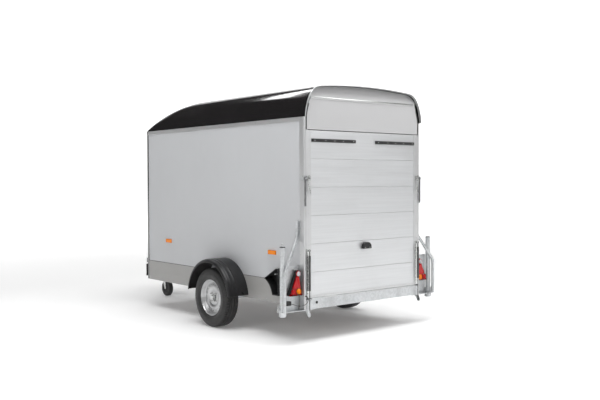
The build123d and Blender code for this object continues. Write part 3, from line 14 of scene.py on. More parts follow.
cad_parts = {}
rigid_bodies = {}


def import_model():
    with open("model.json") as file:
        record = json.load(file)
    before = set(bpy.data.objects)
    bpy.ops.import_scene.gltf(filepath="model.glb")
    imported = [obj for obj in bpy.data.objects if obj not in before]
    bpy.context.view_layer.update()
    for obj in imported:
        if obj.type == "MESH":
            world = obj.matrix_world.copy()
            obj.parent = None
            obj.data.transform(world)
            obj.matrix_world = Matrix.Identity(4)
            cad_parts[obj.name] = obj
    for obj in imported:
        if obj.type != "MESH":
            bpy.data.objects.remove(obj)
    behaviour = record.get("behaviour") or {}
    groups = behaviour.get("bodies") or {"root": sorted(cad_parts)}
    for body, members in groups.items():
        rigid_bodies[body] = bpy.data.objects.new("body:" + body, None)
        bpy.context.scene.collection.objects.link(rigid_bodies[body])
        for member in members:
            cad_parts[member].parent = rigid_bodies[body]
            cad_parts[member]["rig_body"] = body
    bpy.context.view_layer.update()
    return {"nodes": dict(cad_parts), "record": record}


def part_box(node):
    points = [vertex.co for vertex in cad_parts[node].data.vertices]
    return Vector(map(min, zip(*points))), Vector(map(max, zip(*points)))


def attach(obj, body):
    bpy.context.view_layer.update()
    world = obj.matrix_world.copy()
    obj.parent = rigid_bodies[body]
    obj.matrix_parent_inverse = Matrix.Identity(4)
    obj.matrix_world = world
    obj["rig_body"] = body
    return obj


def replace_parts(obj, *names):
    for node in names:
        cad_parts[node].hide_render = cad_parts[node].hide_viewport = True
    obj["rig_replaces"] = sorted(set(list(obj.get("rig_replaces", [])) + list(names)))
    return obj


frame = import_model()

bl_info = {
    "name": "Box Trailer Looks",
    "version": (1, 0, 0),
    "blender": (4, 5, 0),
    "location": "View3D > Sidebar > Trailer",
    "description": "Builds the surfaces, fittings and finishes of a single-axle box trailer",
    "category": "Object",
}

SIDES = (("left", 1), ("right", -1))

# places taken from the frame
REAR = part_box("corner_pillars")[0].x
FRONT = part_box("front_shell")[1].x
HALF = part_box("corner_pillars")[1].y
ROOF_LOW, ROOF_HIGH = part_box("roof_shell")
RAIL_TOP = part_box("top_rails")[1].z
NOSE = FRONT
NOSE_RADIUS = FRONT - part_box("front_shell")[0].x
RAMP_LOW, RAMP_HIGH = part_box("ramp_frame")
HEADER_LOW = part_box("rear_header")[0]
TYRE_LOW, TYRE_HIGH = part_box("tyre_left")
AXLE = (TYRE_LOW + TYRE_HIGH) / 2
AXLE.z = TYRE_HIGH.z / 2


def from_rear(x, y, z):
    """A point given by its distance ahead of the box's rear face."""
    return Vector((REAR + x, y, z))


# ---------------------------------------------------------------- user settings
def length_setting(name, default, text):
    return FloatProperty(name=name, default=default, description=text, subtype="DISTANCE", unit="LENGTH")


def colour_setting(name, default, text):
    return FloatVectorProperty(
        name=name, default=default, description=text, subtype="COLOR", size=3, min=0.0, max=1.0
    )


class TrailerColours(bpy.types.PropertyGroup):
    """Colours of the painted, moulded and rubber surfaces."""

    roof: colour_setting("Roof", (0.013, 0.012, 0.0125), "Gel coat of the moulded roof and front")
    panel: colour_setting("Side panel", (0.57, 0.58, 0.595), "Face of the side boards")
    skirt: colour_setting("Skirt", (0.37, 0.365, 0.355), "Painted lower skirts")
    header: colour_setting("Header", (0.50, 0.50, 0.505), "Moulding above the ramp door")
    plank: colour_setting("Plank", (0.72, 0.73, 0.74), "Anodised ramp planks")
    aluminium: colour_setting("Profiles", (0.66, 0.665, 0.67), "Anodised pillars, rails and door frame")
    zinc: colour_setting("Galvanised", (0.56, 0.575, 0.585), "Hot-dip galvanised steel")
    lamp_red: colour_setting("Red lens", (0.50, 0.0, 0.004), "Tail and brake lamp lens")
    lamp_amber: colour_setting("Amber lens", (0.90, 0.24, 0.0), "Indicator and side marker lens")
    plastic: colour_setting("Black plastic", (0.016, 0.016, 0.017), "Mudguards, chocks and lamp bodies")
    rubber: colour_setting("Rubber", (0.02, 0.02, 0.02), "Tyres, pads and seals")
    rim: colour_setting("Rim", (0.58, 0.585, 0.59), "Silver paint of the wheels")
    floor: colour_setting("Floor board", (0.11, 0.065, 0.04), "Film-faced floor")


class TrailerSizes(bpy.types.PropertyGroup):
    """Sizes of the surfaces and fittings that the frame doesn't fix."""

    roof_skin: length_setting("Roof skin", 0.004, "Wall thickness of the moulded roof")
    rivet_radius: length_setting("Rivet radius", 0.0045, "Radius of the blind rivets' heads")
    rivet_pitch: length_setting("Rivet pitch", 0.21, "Distance between the header's rivets")
    screw_radius: length_setting("Screw radius", 0.0055, "Radius of the panel screws' heads")
    chain_wire: length_setting("Chain wire", 0.0011, "Wire radius of the lock pins' chains")
    tread_depth: length_setting("Tread depth", 0.006, "Depth of the tyres' grooves")
    tread_blocks: IntProperty(name="Tread blocks", default=64, description="Tread blocks round a tyre")
    edge_round: length_setting("Edge rounding", 0.0012, "Radius on the edges of metal parts")


def colours():
    return bpy.context.scene.trailer_colours


def sizes():
    return bpy.context.scene.trailer_sizes


# ---------------------------------------------------------------- finishes
class Finish:
    """A material being made: its shader, and short ways to add what varies over the surface."""

    def __init__(self, name, colour, roughness, **sockets):
        self.material = bpy.data.materials.new(name)
        self.material.use_nodes = True
        self.tree = self.material.node_tree
        self.shader = self.tree.nodes["Principled BSDF"]
        self.colour = (*colour, 1.0)
        self.shader.inputs["Base Color"].default_value = self.colour
        self.shader.inputs["Roughness"].default_value = roughness
        for socket, value in sockets.items():
            self.shader.inputs[socket.replace("_", " ")].default_value = value
        self.point = self.tree.nodes.new("ShaderNodeTexCoord").outputs["Object"]

    def add(self, kind, links=(), values=(), **settings):
        node = self.tree.nodes.new(kind)
        for key, value in settings.items():
            setattr(node, key, value)
        for key, value in dict(values).items():
            node.inputs[key].default_value = value
        for key, socket in dict(links).items():
            self.tree.links.new(socket, node.inputs[key])
        return node

    def stretched(self, stretch):
        """Object coordinates, stretched so that a pattern runs along the short factors' axes."""
        return self.add("ShaderNodeMapping", {"Vector": self.point}, {"Scale": stretch}).outputs["Vector"]

    def noise(self, scale, detail=3.0, stretch=None, rough=0.5):
        point = self.point if stretch is None else self.stretched(stretch)
        values = {"Scale": scale, "Detail": detail, "Roughness": rough}
        return self.add("ShaderNodeTexNoise", {"Vector": point}, values).outputs["Fac"]

    def cells(self, scale, feature="F1", output="Distance", stretch=None):
        point = self.point if stretch is None else self.stretched(stretch)
        node = self.add("ShaderNodeTexVoronoi", {"Vector": point}, {"Scale": scale}, feature=feature)
        return node.outputs[output]

    def bands(self, scale, axis, stretch=None, distortion=0.0):
        node = self.add(
            "ShaderNodeTexWave", {"Vector": self.point if stretch is None else self.stretched(stretch)},
            {"Scale": scale, "Distortion": distortion}, bands_direction=axis,
        )
        return node.outputs["Fac"]

    def span(self, value, low, high, to_low=0.0, to_high=1.0):
        """value from low to high, taken to to_low to to_high and held there outside."""
        values = {"From Min": low, "From Max": high, "To Min": to_low, "To Max": to_high}
        return self.add("ShaderNodeMapRange", {"Value": value}, values).outputs["Result"]

    def tint(self, amount, other):
        """Mixes the base colour towards other by amount, over what is there already."""
        mix = self.add("ShaderNodeMix", data_type="RGBA")
        self.tree.links.new(amount, mix.inputs["Factor"])
        socket = self.shader.inputs["Base Color"]
        if socket.links:
            self.tree.links.new(socket.links[0].from_socket, mix.inputs[6])
        else:
            mix.inputs[6].default_value = self.colour
        mix.inputs[7].default_value = (*other, 1.0)
        self.tree.links.new(mix.outputs[2], socket)
        return self

    def roughen(self, amount, low, high):
        self.tree.links.new(self.span(amount, 0.0, 1.0, low, high), self.shader.inputs["Roughness"])
        return self

    def emboss(self, height, distance, strength=1.0):
        """Bump of the given depth in metres, on top of what is there already."""
        socket = self.shader.inputs["Normal"]
        links = {"Height": height}
        if socket.links:
            links["Normal"] = socket.links[0].from_socket
        bump = self.add("ShaderNodeBump", links, {"Distance": distance, "Strength": strength})
        self.tree.links.new(bump.outputs["Normal"], socket)
        return self


def shade(colour, factor):
    return tuple(min(1.0, channel * factor) for channel in colour)


def gel_coat(name, colour, roughness=0.07):
    """Glossy moulded plastic with a faint orange peel and a little dust."""
    f = Finish(name, colour, roughness, Coat_Weight=0.6, Coat_Roughness=0.03, IOR=1.5)
    f.emboss(f.noise(55.0, 1.0), 0.0005, 0.5)
    f.roughen(f.noise(3.0, 4.0), roughness, roughness + 0.10)
    f.tint(f.span(f.noise(2.2, 5.0), 0.55, 0.8, 0.0, 0.25), shade(colour, 2.2))
    return f.material


def coated_board(name, colour):
    """Film-faced board: satin, with a fine pebble grain and soft handling marks."""
    f = Finish(name, colour, 0.42, IOR=1.45)
    f.emboss(f.cells(260.0, "SMOOTH_F1"), 0.0003, 0.35)
    f.roughen(f.noise(5.0, 4.0), 0.36, 0.5)
    f.tint(f.span(f.noise(1.3, 3.0), 0.4, 0.75, 0.0, 0.5), shade(colour, 0.93))
    f.tint(f.span(f.noise(9.0, 6.0, (1.0, 1.0, 0.15)), 0.6, 0.8, 0.0, 0.25), shade(colour, 0.88))
    return f.material


def painted_sheet(name, colour):
    """Smooth painted sheet with light road dust low down."""
    f = Finish(name, colour, 0.34, Coat_Weight=0.2)
    f.emboss(f.noise(140.0, 2.0), 0.0002, 0.4)
    f.tint(f.span(f.noise(4.0, 5.0, (0.4, 1.0, 2.0)), 0.45, 0.75, 0.0, 0.35), shade(colour, 0.82))
    f.roughen(f.noise(7.0, 4.0), 0.28, 0.46)
    return f.material


def anodised(name, colour, run=(1.0, 1.0, 0.03), roughness=0.36):
    """Anodised extrusion: fine draw lines along the profile and a soft sheen."""
    f = Finish(name, colour, roughness, Metallic=0.75)
    lines = f.noise(420.0, 2.0, run)
    f.emboss(lines, 0.00012, 0.3)
    f.roughen(f.noise(26.0, 4.0, run), roughness - 0.07, roughness + 0.09)
    f.tint(f.span(f.noise(60.0, 3.0, run), 0.35, 0.7, 0.0, 0.5), shade(colour, 0.9))
    f.tint(f.span(f.noise(2.5, 4.0), 0.55, 0.8, 0.0, 0.3), shade(colour, 0.84))
    return f.material


def galvanised(name, colour):
    """Hot-dip zinc: crystal spangle of flat grey patches, dull runs and small pits."""
    f = Finish(name, colour, 0.4, Metallic=0.8)
    grain = f.cells(55.0, output="Color")
    value = f.add("ShaderNodeRGBToBW", {"Color": grain}).outputs["Val"]
    f.tint(f.span(value, 0.2, 0.8, 0.0, 0.55), shade(colour, 1.35))
    f.tint(f.span(f.noise(6.0, 5.0, (1.0, 1.0, 0.4)), 0.5, 0.75, 0.0, 0.6), shade(colour, 0.72))
    f.roughen(value, 0.28, 0.52)
    f.emboss(f.noise(190.0, 3.0), 0.0003, 0.35)
    return f.material


def bright_zinc(name, colour):
    """Electroplated steel fittings: bright, slightly bluish, with handling wear."""
    f = Finish(name, colour, 0.27, Metallic=0.95)
    f.tint(f.span(f.noise(34.0, 5.0), 0.5, 0.72, 0.0, 0.5), shade(colour, 0.68))
    f.roughen(f.noise(80.0, 4.0), 0.18, 0.38)
    f.emboss(f.noise(350.0, 2.0), 0.0001, 0.3)
    return f.material


def brushed_rod(name, colour, run):
    f = Finish(name, colour, 0.2, Metallic=1.0, Anisotropic=0.4)
    f.roughen(f.noise(300.0, 2.0, run), 0.12, 0.3)
    f.emboss(f.noise(900.0, 2.0, run), 0.00005, 0.3)
    return f.material


def cast_metal(name, colour):
    """Sand-cast iron under a thin coat: pebbled, matt in the hollows."""
    f = Finish(name, colour, 0.5, Metallic=0.55)
    f.emboss(f.noise(240.0, 5.0, rough=0.65), 0.0009, 0.55)
    f.tint(f.span(f.noise(30.0, 5.0), 0.45, 0.75, 0.0, 0.6), shade(colour, 0.6))
    f.roughen(f.noise(60.0, 4.0), 0.42, 0.65)
    return f.material


def silver_paint(name, colour):
    """Silver wheel paint with metal flake, brake dust and a thin clear coat."""
    f = Finish(name, colour, 0.32, Metallic=0.65, Coat_Weight=0.35, Coat_Roughness=0.12)
    f.emboss(f.cells(1500.0), 0.00005, 0.25)
    f.tint(f.span(f.noise(16.0, 5.0), 0.5, 0.8, 0.0, 0.45), shade(colour, 0.62))
    f.roughen(f.noise(40.0, 3.0), 0.26, 0.42)
    return f.material


def moulded_black(name, colour, roughness=0.44, grain=420.0):
    """Moulded plastic: fine leathery grain, grey scuffs and bleached high spots."""
    f = Finish(name, colour, roughness, IOR=1.46)
    f.emboss(f.cells(grain, "SMOOTH_F1"), 0.0003, 0.4)
    f.emboss(f.noise(30.0, 3.0), 0.0006, 0.15)
    f.tint(f.span(f.noise(14.0, 6.0), 0.56, 0.78, 0.0, 0.35), shade(colour, 3.0))
    f.roughen(f.noise(20.0, 4.0), roughness - 0.1, roughness + 0.14)
    return f.material


def rubber(name, colour, roughness=0.62):
    """Black rubber with dust in its pores and a dull bloom."""
    f = Finish(name, colour, roughness, Sheen_Weight=0.12, Sheen_Roughness=0.5)
    f.emboss(f.noise(520.0, 4.0), 0.0003, 0.5)
    f.tint(f.span(f.noise(18.0, 6.0), 0.5, 0.8, 0.0, 0.5), (0.055, 0.052, 0.048))
    f.roughen(f.noise(45.0, 4.0), roughness - 0.1, roughness + 0.15)
    return f.material


def lens(name, colour, ribs=1500.0, depth=0.0005):
    """Coloured lamp plastic with fine inner prisms under a glossy face, and a faint painted glow."""
    f = Finish(name, colour, 0.16, Coat_Weight=0.3, Coat_Roughness=0.04, IOR=1.3)
    f.emboss(f.bands(ribs / 20.0, "Y"), depth, 0.35)
    f.emboss(f.bands(ribs / 20.0, "Z"), depth, 0.35)
    f.tint(f.span(f.bands(ribs / 20.0, "Y"), 0.2, 0.9, 0.0, 0.5), shade(colour, 0.55))
    # faint painted glow in the lens colour; the lamps are not lit
    f.shader.inputs["Emission Color"].default_value = (*colour, 1.0)
    f.shader.inputs["Emission Strength"].default_value = 0.04
    return f.material


def film_faced_floor(name, colour):
    """Brown phenolic film with a pressed wire-mesh pattern."""
    f = Finish(name, colour, 0.45, IOR=1.5)
    mesh = f.cells(120.0, "DISTANCE_TO_EDGE", stretch=(1.0, 1.0, 0.0))
    f.emboss(f.span(mesh, 0.0, 0.18), 0.0006, 0.8)
    f.tint(f.span(f.noise(3.0, 5.0), 0.4, 0.75, 0.0, 0.5), shade(colour, 0.6))
    return f.material


def black_enamel(name, colour):
    f = Finish(name, colour, 0.16, Coat_Weight=0.5, Coat_Roughness=0.05)
    f.emboss(f.noise(260.0, 2.0), 0.0001, 0.3)
    f.roughen(f.noise(30.0, 4.0), 0.12, 0.28)
    f.tint(f.span(f.noise(45.0, 6.0), 0.62, 0.8, 0.0, 0.3), shade(colour, 4.0))
    return f.material


MAKERS = {
    "gloss_black": lambda: gel_coat("Roof gel coat", colours().roof),
    "panel_grey": lambda: coated_board("Side board film", colours().panel),
    "skirt_grey": lambda: painted_sheet("Skirt paint", colours().skirt),
    "aluminium": lambda: anodised("Anodised upright", colours().aluminium),
    "aluminium_x": lambda: anodised("Anodised rail", colours().aluminium, (0.03, 1.0, 1.0)),
    "plank": lambda: anodised("Anodised plank", colours().plank, (1.0, 0.03, 1.0), 0.38),
    "header_grey": lambda: coated_board("Header moulding", colours().header),
    "black_plastic": lambda: moulded_black("Black moulding", colours().plastic),
    "guard_plastic": lambda: moulded_black("Mudguard moulding", colours().plastic, 0.3, 300.0),
    "rubber": lambda: rubber("Rubber trim", colours().rubber),
    "tyre": lambda: rubber("Tyre rubber", colours().rubber, 0.55),
    "floor_ply": lambda: film_faced_floor("Floor film", colours().floor),
    "lamp_red": lambda: lens("Red lens", colours().lamp_red),
    "lamp_amber": lambda: lens("Amber lens", colours().lamp_amber),
    "lamp_clear": lambda: lens("Clear lens", (0.62, 0.64, 0.66)),
    "black_steel": lambda: black_enamel("Black enamel", (0.012, 0.012, 0.013)),
    "zinc_steel": lambda: bright_zinc("Bright zinc", (0.62, 0.63, 0.62)),
    "galvanised": lambda: galvanised("Hot-dip zinc", colours().zinc),
    "rim_silver": lambda: silver_paint("Wheel silver", colours().rim),
    "cast_grey": lambda: cast_metal("Cast iron", (0.17, 0.17, 0.175)),
    "brushed": lambda: brushed_rod("Ground steel", (0.70, 0.70, 0.69), (1.0, 1.0, 0.02)),
}
FINISHES = {}


def finish(name):
    """The material of that name, made the first time it is asked for."""
    if name not in FINISHES:
        FINISHES[name] = MAKERS[name]()
    return FINISHES[name]


# ---------------------------------------------------------------- making and placing pieces
SLOT_OF = {part["node"]: part["material_slot"] for part in frame["record"]["subparts"]}


def link(name, mesh):
    piece = bpy.data.objects.new(name, mesh)
    bpy.context.scene.collection.objects.link(piece)
    return piece


def settle(piece):
    """Replaces a piece's data with the plain mesh that its modifiers make."""
    bpy.context.view_layer.update()
    evaluated = piece.evaluated_get(bpy.context.evaluated_depsgraph_get())
    mesh = bpy.data.meshes.new_from_object(evaluated)
    mesh.name = piece.name
    if piece.type == "MESH":
        piece.modifiers.clear()
        piece.data = mesh
        return piece
    name = piece.name
    bpy.data.objects.remove(piece)
    return link(name, mesh)


def soften(mesh, degrees=38.0):
    """Smooth shading with sharp edges kept above an angle."""
    mesh.shade_smooth()
    mesh.set_sharp_from_angle(angle=math.radians(degrees))


def dress(piece, body, look, replaces=()):
    """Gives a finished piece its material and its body."""
    if look is not None:
        piece.data.materials.clear()
        piece.data.materials.append(finish(look))
        for polygon in piece.data.polygons:
            polygon.material_index = 0
    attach(piece, body)
    if replaces:
        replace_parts(piece, *replaces)
    return piece


def body_of(node):
    return frame["nodes"][node]["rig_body"]


def replaced_by(piece):
    """The CAD nodes that a piece stands for."""
    return list(piece.get("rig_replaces", []))


def refined(node, look, edge=None, degrees=38.0, segments=2):
    """A CAD node's own shape with joined faces, rounded edges and smooth shading, standing for the node."""
    mesh = frame["nodes"][node].data.copy()
    bm = bmesh.new()
    bm.from_mesh(mesh)
    bmesh.ops.remove_doubles(bm, verts=bm.verts, dist=3e-6)
    bmesh.ops.dissolve_limit(bm, angle_limit=math.radians(0.5), verts=bm.verts, edges=bm.edges)
    bm.to_mesh(mesh)
    bm.free()
    piece = link(node + "_finished", mesh)
    soften(mesh, degrees)
    width = sizes().edge_round if edge is None else edge
    if width > 0:
        bevel = piece.modifiers.new("Rounded edges", "BEVEL")
        bevel.width = width
        bevel.segments = segments
        bevel.limit_method = "ANGLE"
        bevel.angle_limit = math.radians(degrees)
        bevel.use_clamp_overlap = True
        bevel.harden_normals = True
        settle(piece)
    return dress(piece, body_of(node), look, [node])


def mesh_of(name, vertices, faces, degrees=38.0, fix=True):
    mesh = bpy.data.meshes.new(name)
    mesh.from_pydata([tuple(v) for v in vertices], [], faces)
    if fix:
        bm = bmesh.new()
        bm.from_mesh(mesh)
        bmesh.ops.remove_doubles(bm, verts=bm.verts, dist=1e-6)
        bmesh.ops.recalc_face_normals(bm, faces=bm.faces)
        bm.to_mesh(mesh)
        bm.free()
    soften(mesh, degrees)
    return mesh


def grid_faces(rows, columns, wrap_rows=False, wrap_columns=False):
    """Faces of a grid of points stored row by row."""
    faces = []
    for i in range(rows if wrap_rows else rows - 1):
        for j in range(columns if wrap_columns else columns - 1):
            a, b = i * columns, (i + 1) % rows * columns
            k = (j + 1) % columns
            faces.append((a + j, a + k, b + k, b + j))
    return faces


def turned(name, profile, centre, axis="Y", segments=96, start=0.0, sweep=360.0, degrees=38.0):
    """A closed section of (along, radius) points turned about an axis through centre."""
    full = sweep >= 360.0
    rings = segments if full else segments + 1
    points = []
    for step in range(rings):
        angle = math.radians(start + sweep * step / segments)
        for along, radius in profile:
            across, up = radius * math.sin(angle), radius * math.cos(angle)
            place = {"Y": (across, along, up), "X": (along, across, up), "Z": (across, up, along)}[axis]
            points.append(Vector(centre) + Vector(place))
    faces = grid_faces(rings, len(profile), wrap_rows=full, wrap_columns=True)
    if not full:
        last = len(points) - 1
        faces += [tuple(range(len(profile))), tuple(range(last, last - len(profile), -1))]
    return mesh_of(name, points, faces, degrees)


def rounded(bm, geometry, width, segments=2):
    if width <= 0:
        return
    edges = [e for e in geometry if isinstance(e, bmesh.types.BMEdge)]
    bmesh.ops.bevel(
        bm, geom=edges, offset=width, segments=segments, profile=0.5, affect="EDGES", clamp_overlap=True
    )


def add_block(bm, low, high, edge=0.001, segments=2):
    """A block with rounded edges between two corners."""
    low, high = Vector(low), Vector(high)
    made = bmesh.ops.create_cube(bm, size=1.0)["verts"]
    size, middle = high - low, (low + high) / 2
    for v in made:
        v.co = middle + Vector(v.co[i] * size[i] for i in range(3))
    rounded(bm, {e for v in made for e in v.link_edges}, edge, segments)


def add_prism(bm, outline, direction, edge=0.0, segments=2):
    """A flat outline of points pushed along a vector, with rounded edges."""
    near = [bm.verts.new(p) for p in outline]
    far = [bm.verts.new(Vector(p) + Vector(direction)) for p in outline]
    faces = [bm.faces.new(near), bm.faces.new(far[::-1])]
    for i in range(len(near)):
        j = (i + 1) % len(near)
        faces.append(bm.faces.new((near[j], near[i], far[i], far[j])))
    bmesh.ops.recalc_face_normals(bm, faces=faces)
    rounded(bm, {e for f in faces for e in f.edges}, edge, segments)


def add_rod(bm, start, end, radius, edge=0.0, sides=32, top=None):
    """A round bar, or a cone when top gives the radius at its end."""
    start, end = Vector(start), Vector(end)
    turn = (end - start).to_track_quat("Z", "Y").to_matrix().to_4x4()
    turn.translation = (start + end) / 2
    made = bmesh.ops.create_cone(
        bm, cap_ends=True, segments=sides, radius1=radius, radius2=radius if top is None else top,
        depth=(end - start).length, matrix=turn,
    )["verts"]
    if edge > 0:
        rims = {e for v in made for e in v.link_edges if len(e.link_faces) == 2 and e.calc_face_angle(0.0) > 0.9}
        rounded(bm, rims, edge)


def from_bm(name, bm, degrees=38.0):
    mesh = bpy.data.meshes.new(name)
    bmesh.ops.recalc_face_normals(bm, faces=bm.faces)
    bm.to_mesh(mesh)
    bm.free()
    soften(mesh, degrees)
    return link(name, mesh)


def bent_tube(name, points, radius, bend, sides=6, steps=8):
    """A round tube along straight runs with rounded bends."""
    curve = bpy.data.curves.new(name, "CURVE")
    curve.dimensions = "3D"
    curve.bevel_depth = radius
    curve.bevel_resolution = sides
    curve.use_fill_caps = True
    line = curve.splines.new("POLY")
    path = [Vector(points[0])]
    for before, corner, after in zip(points, points[1:], points[2:]):
        before, corner, after = Vector(before), Vector(corner), Vector(after)
        into, out = (corner - before).normalized(), (after - corner).normalized()
        half = into.angle(out) / 2
        reach = min(bend * math.tan(half), (corner - before).length * 0.49, (after - corner).length * 0.49)
        near, far = corner - into * reach, corner + out * reach
        for step in range(steps + 1):
            t = step / steps
            path.append(near * (1 - t) ** 2 + corner * 2 * t * (1 - t) + far * t * t)
    path.append(Vector(points[-1]))
    line.points.add(len(path) - 1)
    for point, place in zip(line.points, path):
        point.co = (*place, 1.0)
    piece = bpy.data.objects.new(name, curve)
    bpy.context.scene.collection.objects.link(piece)
    piece = settle(piece)
    soften(piece.data)
    return piece


# ---------------------------------------------------------------- node trees for what repeats
def group_input(tree, name, kind, default=None):
    socket = tree.interface.new_socket(name, in_out="INPUT", socket_type=kind)
    if default is not None:
        socket.default_value = default
    return socket.identifier


class Pattern:
    """A Geometry Nodes tree with named inputs that ends in Realize Instances and Set Material."""

    def __init__(self, name, **inputs):
        self.tree = bpy.data.node_groups.new(name, "GeometryNodeTree")
        self.identifiers = {"Geometry": group_input(self.tree, "Geometry", "NodeSocketGeometry")}
        for key, (kind, default) in inputs.items():
            self.identifiers[key] = group_input(self.tree, key, kind, default)
        self.identifiers["Finish"] = group_input(self.tree, "Finish", "NodeSocketMaterial")
        self.tree.interface.new_socket("Geometry", in_out="OUTPUT", socket_type="NodeSocketGeometry")
        self.given = self.add("NodeGroupInput").outputs

    def add(self, kind, links=(), values=(), **settings):
        node = self.tree.nodes.new(kind)
        for key, value in settings.items():
            setattr(node, key, value)
        for key, value in dict(values).items():
            node.inputs[key].default_value = value
        for key, socket in dict(links).items():
            self.tree.links.new(socket, node.inputs[key])
        return node

    def math(self, operation, a, b):
        node = self.add("ShaderNodeMath", operation=operation)
        for index, value in enumerate((a, b)):
            if isinstance(value, (int, float)):
                node.inputs[index].default_value = value
            else:
                self.tree.links.new(value, node.inputs[index])
        return node.outputs[0]

    def end(self, instances):
        real = self.add("GeometryNodeRealizeInstances", {"Geometry": instances})
        merged = self.add("GeometryNodeMergeByDistance", {"Geometry": real.outputs[0]}, {"Distance": 5e-6})
        paint = self.add(
            "GeometryNodeSetMaterial", {"Geometry": merged.outputs[0], "Material": self.given["Finish"]}
        )
        self.add("NodeGroupOutput", {"Geometry": paint.outputs[0]})
        return self

    def run(self, piece, look, **values):
        """Runs the tree on a piece and leaves it a plain mesh."""
        modifier = piece.modifiers.new(self.tree.name, "NODES")
        modifier.node_group = self.tree
        modifier[self.identifiers["Finish"]] = finish(look)
        for key, value in values.items():
            modifier[self.identifiers[key]] = value
        settle(piece)
        soften(piece.data)
        return piece


def row_pattern():
    """Repeats a shape along a step vector."""
    p = Pattern("Row of parts", Count=("NodeSocketInt", 5), Step=("NodeSocketVector", (0.0, 0.0, 0.05)))
    index = p.add("GeometryNodeInputIndex").outputs[0]
    offset = p.add("ShaderNodeVectorMath", {0: p.given["Step"], "Scale": index}, operation="SCALE").outputs[0]
    points = p.add("GeometryNodePoints", {"Count": p.given["Count"], "Position": offset}).outputs[0]
    placed = p.add("GeometryNodeInstanceOnPoints", {"Points": points, "Instance": p.given["Geometry"]})
    return p.end(placed.outputs[0])


def ring_pattern():
    """Repeats a shape round an axis along Y through a centre."""
    p = Pattern("Ring of parts", Count=("NodeSocketInt", 12), Centre=("NodeSocketVector", (0.0, 0.0, 0.0)))
    back = p.add("ShaderNodeVectorMath", {0: p.given["Centre"]}, operation="SCALE")
    back.inputs["Scale"].default_value = -1.0
    shape = p.add("GeometryNodeTransform", {"Geometry": p.given["Geometry"], "Translation": back.outputs[0]})
    points = p.add("GeometryNodePoints", {"Count": p.given["Count"], "Position": p.given["Centre"]}).outputs[0]
    index = p.add("GeometryNodeInputIndex").outputs[0]
    share = p.math("DIVIDE", index, p.given["Count"])
    turn = p.add("ShaderNodeCombineXYZ", {"Y": p.math("MULTIPLY", share, math.tau)}).outputs[0]
    placed = p.add(
        "GeometryNodeInstanceOnPoints", {"Points": points, "Instance": shape.outputs[0], "Rotation": turn}
    )
    return p.end(placed.outputs[0])


def fastener_pattern(name, sides, dome):
    """Heads of rivets, screws or bolts on a set of points; Facing turns them from +Z."""
    p = Pattern(
        name, Radius=("NodeSocketFloat", 0.005), Height=("NodeSocketFloat", 0.002),
        Facing=("NodeSocketVector", (0.0, 0.0, 0.0)),
    )
    if dome:
        ball = p.add("GeometryNodeMeshUVSphere", {"Radius": p.given["Radius"]}, {"Segments": sides, "Rings": 8})
        flat = p.math("DIVIDE", p.given["Height"], p.given["Radius"])
        stretch = p.add("ShaderNodeCombineXYZ", {"Z": flat}, {"X": 1.0, "Y": 1.0}).outputs[0]
        head = p.add("GeometryNodeTransform", {"Geometry": ball.outputs[0], "Scale": stretch}).outputs[0]
    else:
        disc = p.add(
            "GeometryNodeMeshCylinder", {"Radius": p.given["Radius"], "Depth": p.given["Height"]}, {"Vertices": sides}
        )
        lift = p.add("ShaderNodeCombineXYZ", {"Z": p.math("MULTIPLY", p.given["Height"], 0.5)}).outputs[0]
        nut = p.add("GeometryNodeTransform", {"Geometry": disc.outputs[0], "Translation": lift}).outputs[0]
        wide = p.math("MULTIPLY", p.given["Radius"], 1.45)
        thin = p.math("MULTIPLY", p.given["Height"], 0.2)
        washer = p.add("GeometryNodeMeshCylinder", {"Radius": wide, "Depth": thin}, {"Vertices": 24})
        head = p.add("GeometryNodeJoinGeometry")
        p.tree.links.new(washer.outputs[0], head.inputs[0])
        p.tree.links.new(nut, head.inputs[0])
        head = head.outputs[0]
    placed = p.add(
        "GeometryNodeInstanceOnPoints",
        {"Points": p.given["Geometry"], "Instance": head, "Rotation": p.given["Facing"]},
    )
    return p.end(placed.outputs[0])


def chain_pattern():
    """Welded links along a path, each a quarter turn from the last."""
    p = Pattern(
        "Chain",
        Wire=("NodeSocketFloat", 0.001),
        Pitch=("NodeSocketFloat", 0.008),
        Width=("NodeSocketFloat", 0.0032),
    )
    path = p.add("GeometryNodeMeshToCurve", {"Mesh": p.given["Geometry"]}).outputs[0]
    even = p.add("GeometryNodeResampleCurve", {"Curve": path, "Length": p.given["Pitch"]}, mode="LENGTH")
    ring = p.add("GeometryNodeCurvePrimitiveCircle", {"Radius": p.given["Width"]}, {"Resolution": 14})
    wire = p.add("GeometryNodeCurvePrimitiveCircle", {"Radius": p.given["Wire"]}, {"Resolution": 6})
    link_mesh = p.add(
        "GeometryNodeCurveToMesh", {"Curve": ring.outputs[0], "Profile Curve": wire.outputs[0]}
    ).outputs[0]
    shape = p.add("GeometryNodeTransform", {"Geometry": link_mesh}, {"Scale": (1.75, 1.0, 1.0)}).outputs[0]
    tangent = p.add("GeometryNodeInputTangent").outputs[0]
    along = p.add("FunctionNodeAlignRotationToVector", {"Vector": tangent}, axis="X").outputs[0]
    index = p.add("GeometryNodeInputIndex").outputs[0]
    quarter = p.math("MULTIPLY", index, math.pi / 2)
    roll = p.add("ShaderNodeCombineXYZ", {"X": quarter}).outputs[0]
    turned_link = p.add(
        "FunctionNodeRotateRotation", {"Rotation": along, "Rotate By": roll}, rotation_space="LOCAL"
    ).outputs[0]
    placed = p.add(
        "GeometryNodeInstanceOnPoints", {"Points": even.outputs[0], "Instance": shape, "Rotation": turned_link}
    )
    return p.end(placed.outputs[0])


PATTERN_MAKERS = {
    "row": row_pattern,
    "ring": ring_pattern,
    "rivet": lambda: fastener_pattern("Rivets", 14, True),
    "screw": lambda: fastener_pattern("Screws", 20, True),
    "bolt": lambda: fastener_pattern("Bolts", 6, False),
    "chain": chain_pattern,
}
PATTERNS = {}


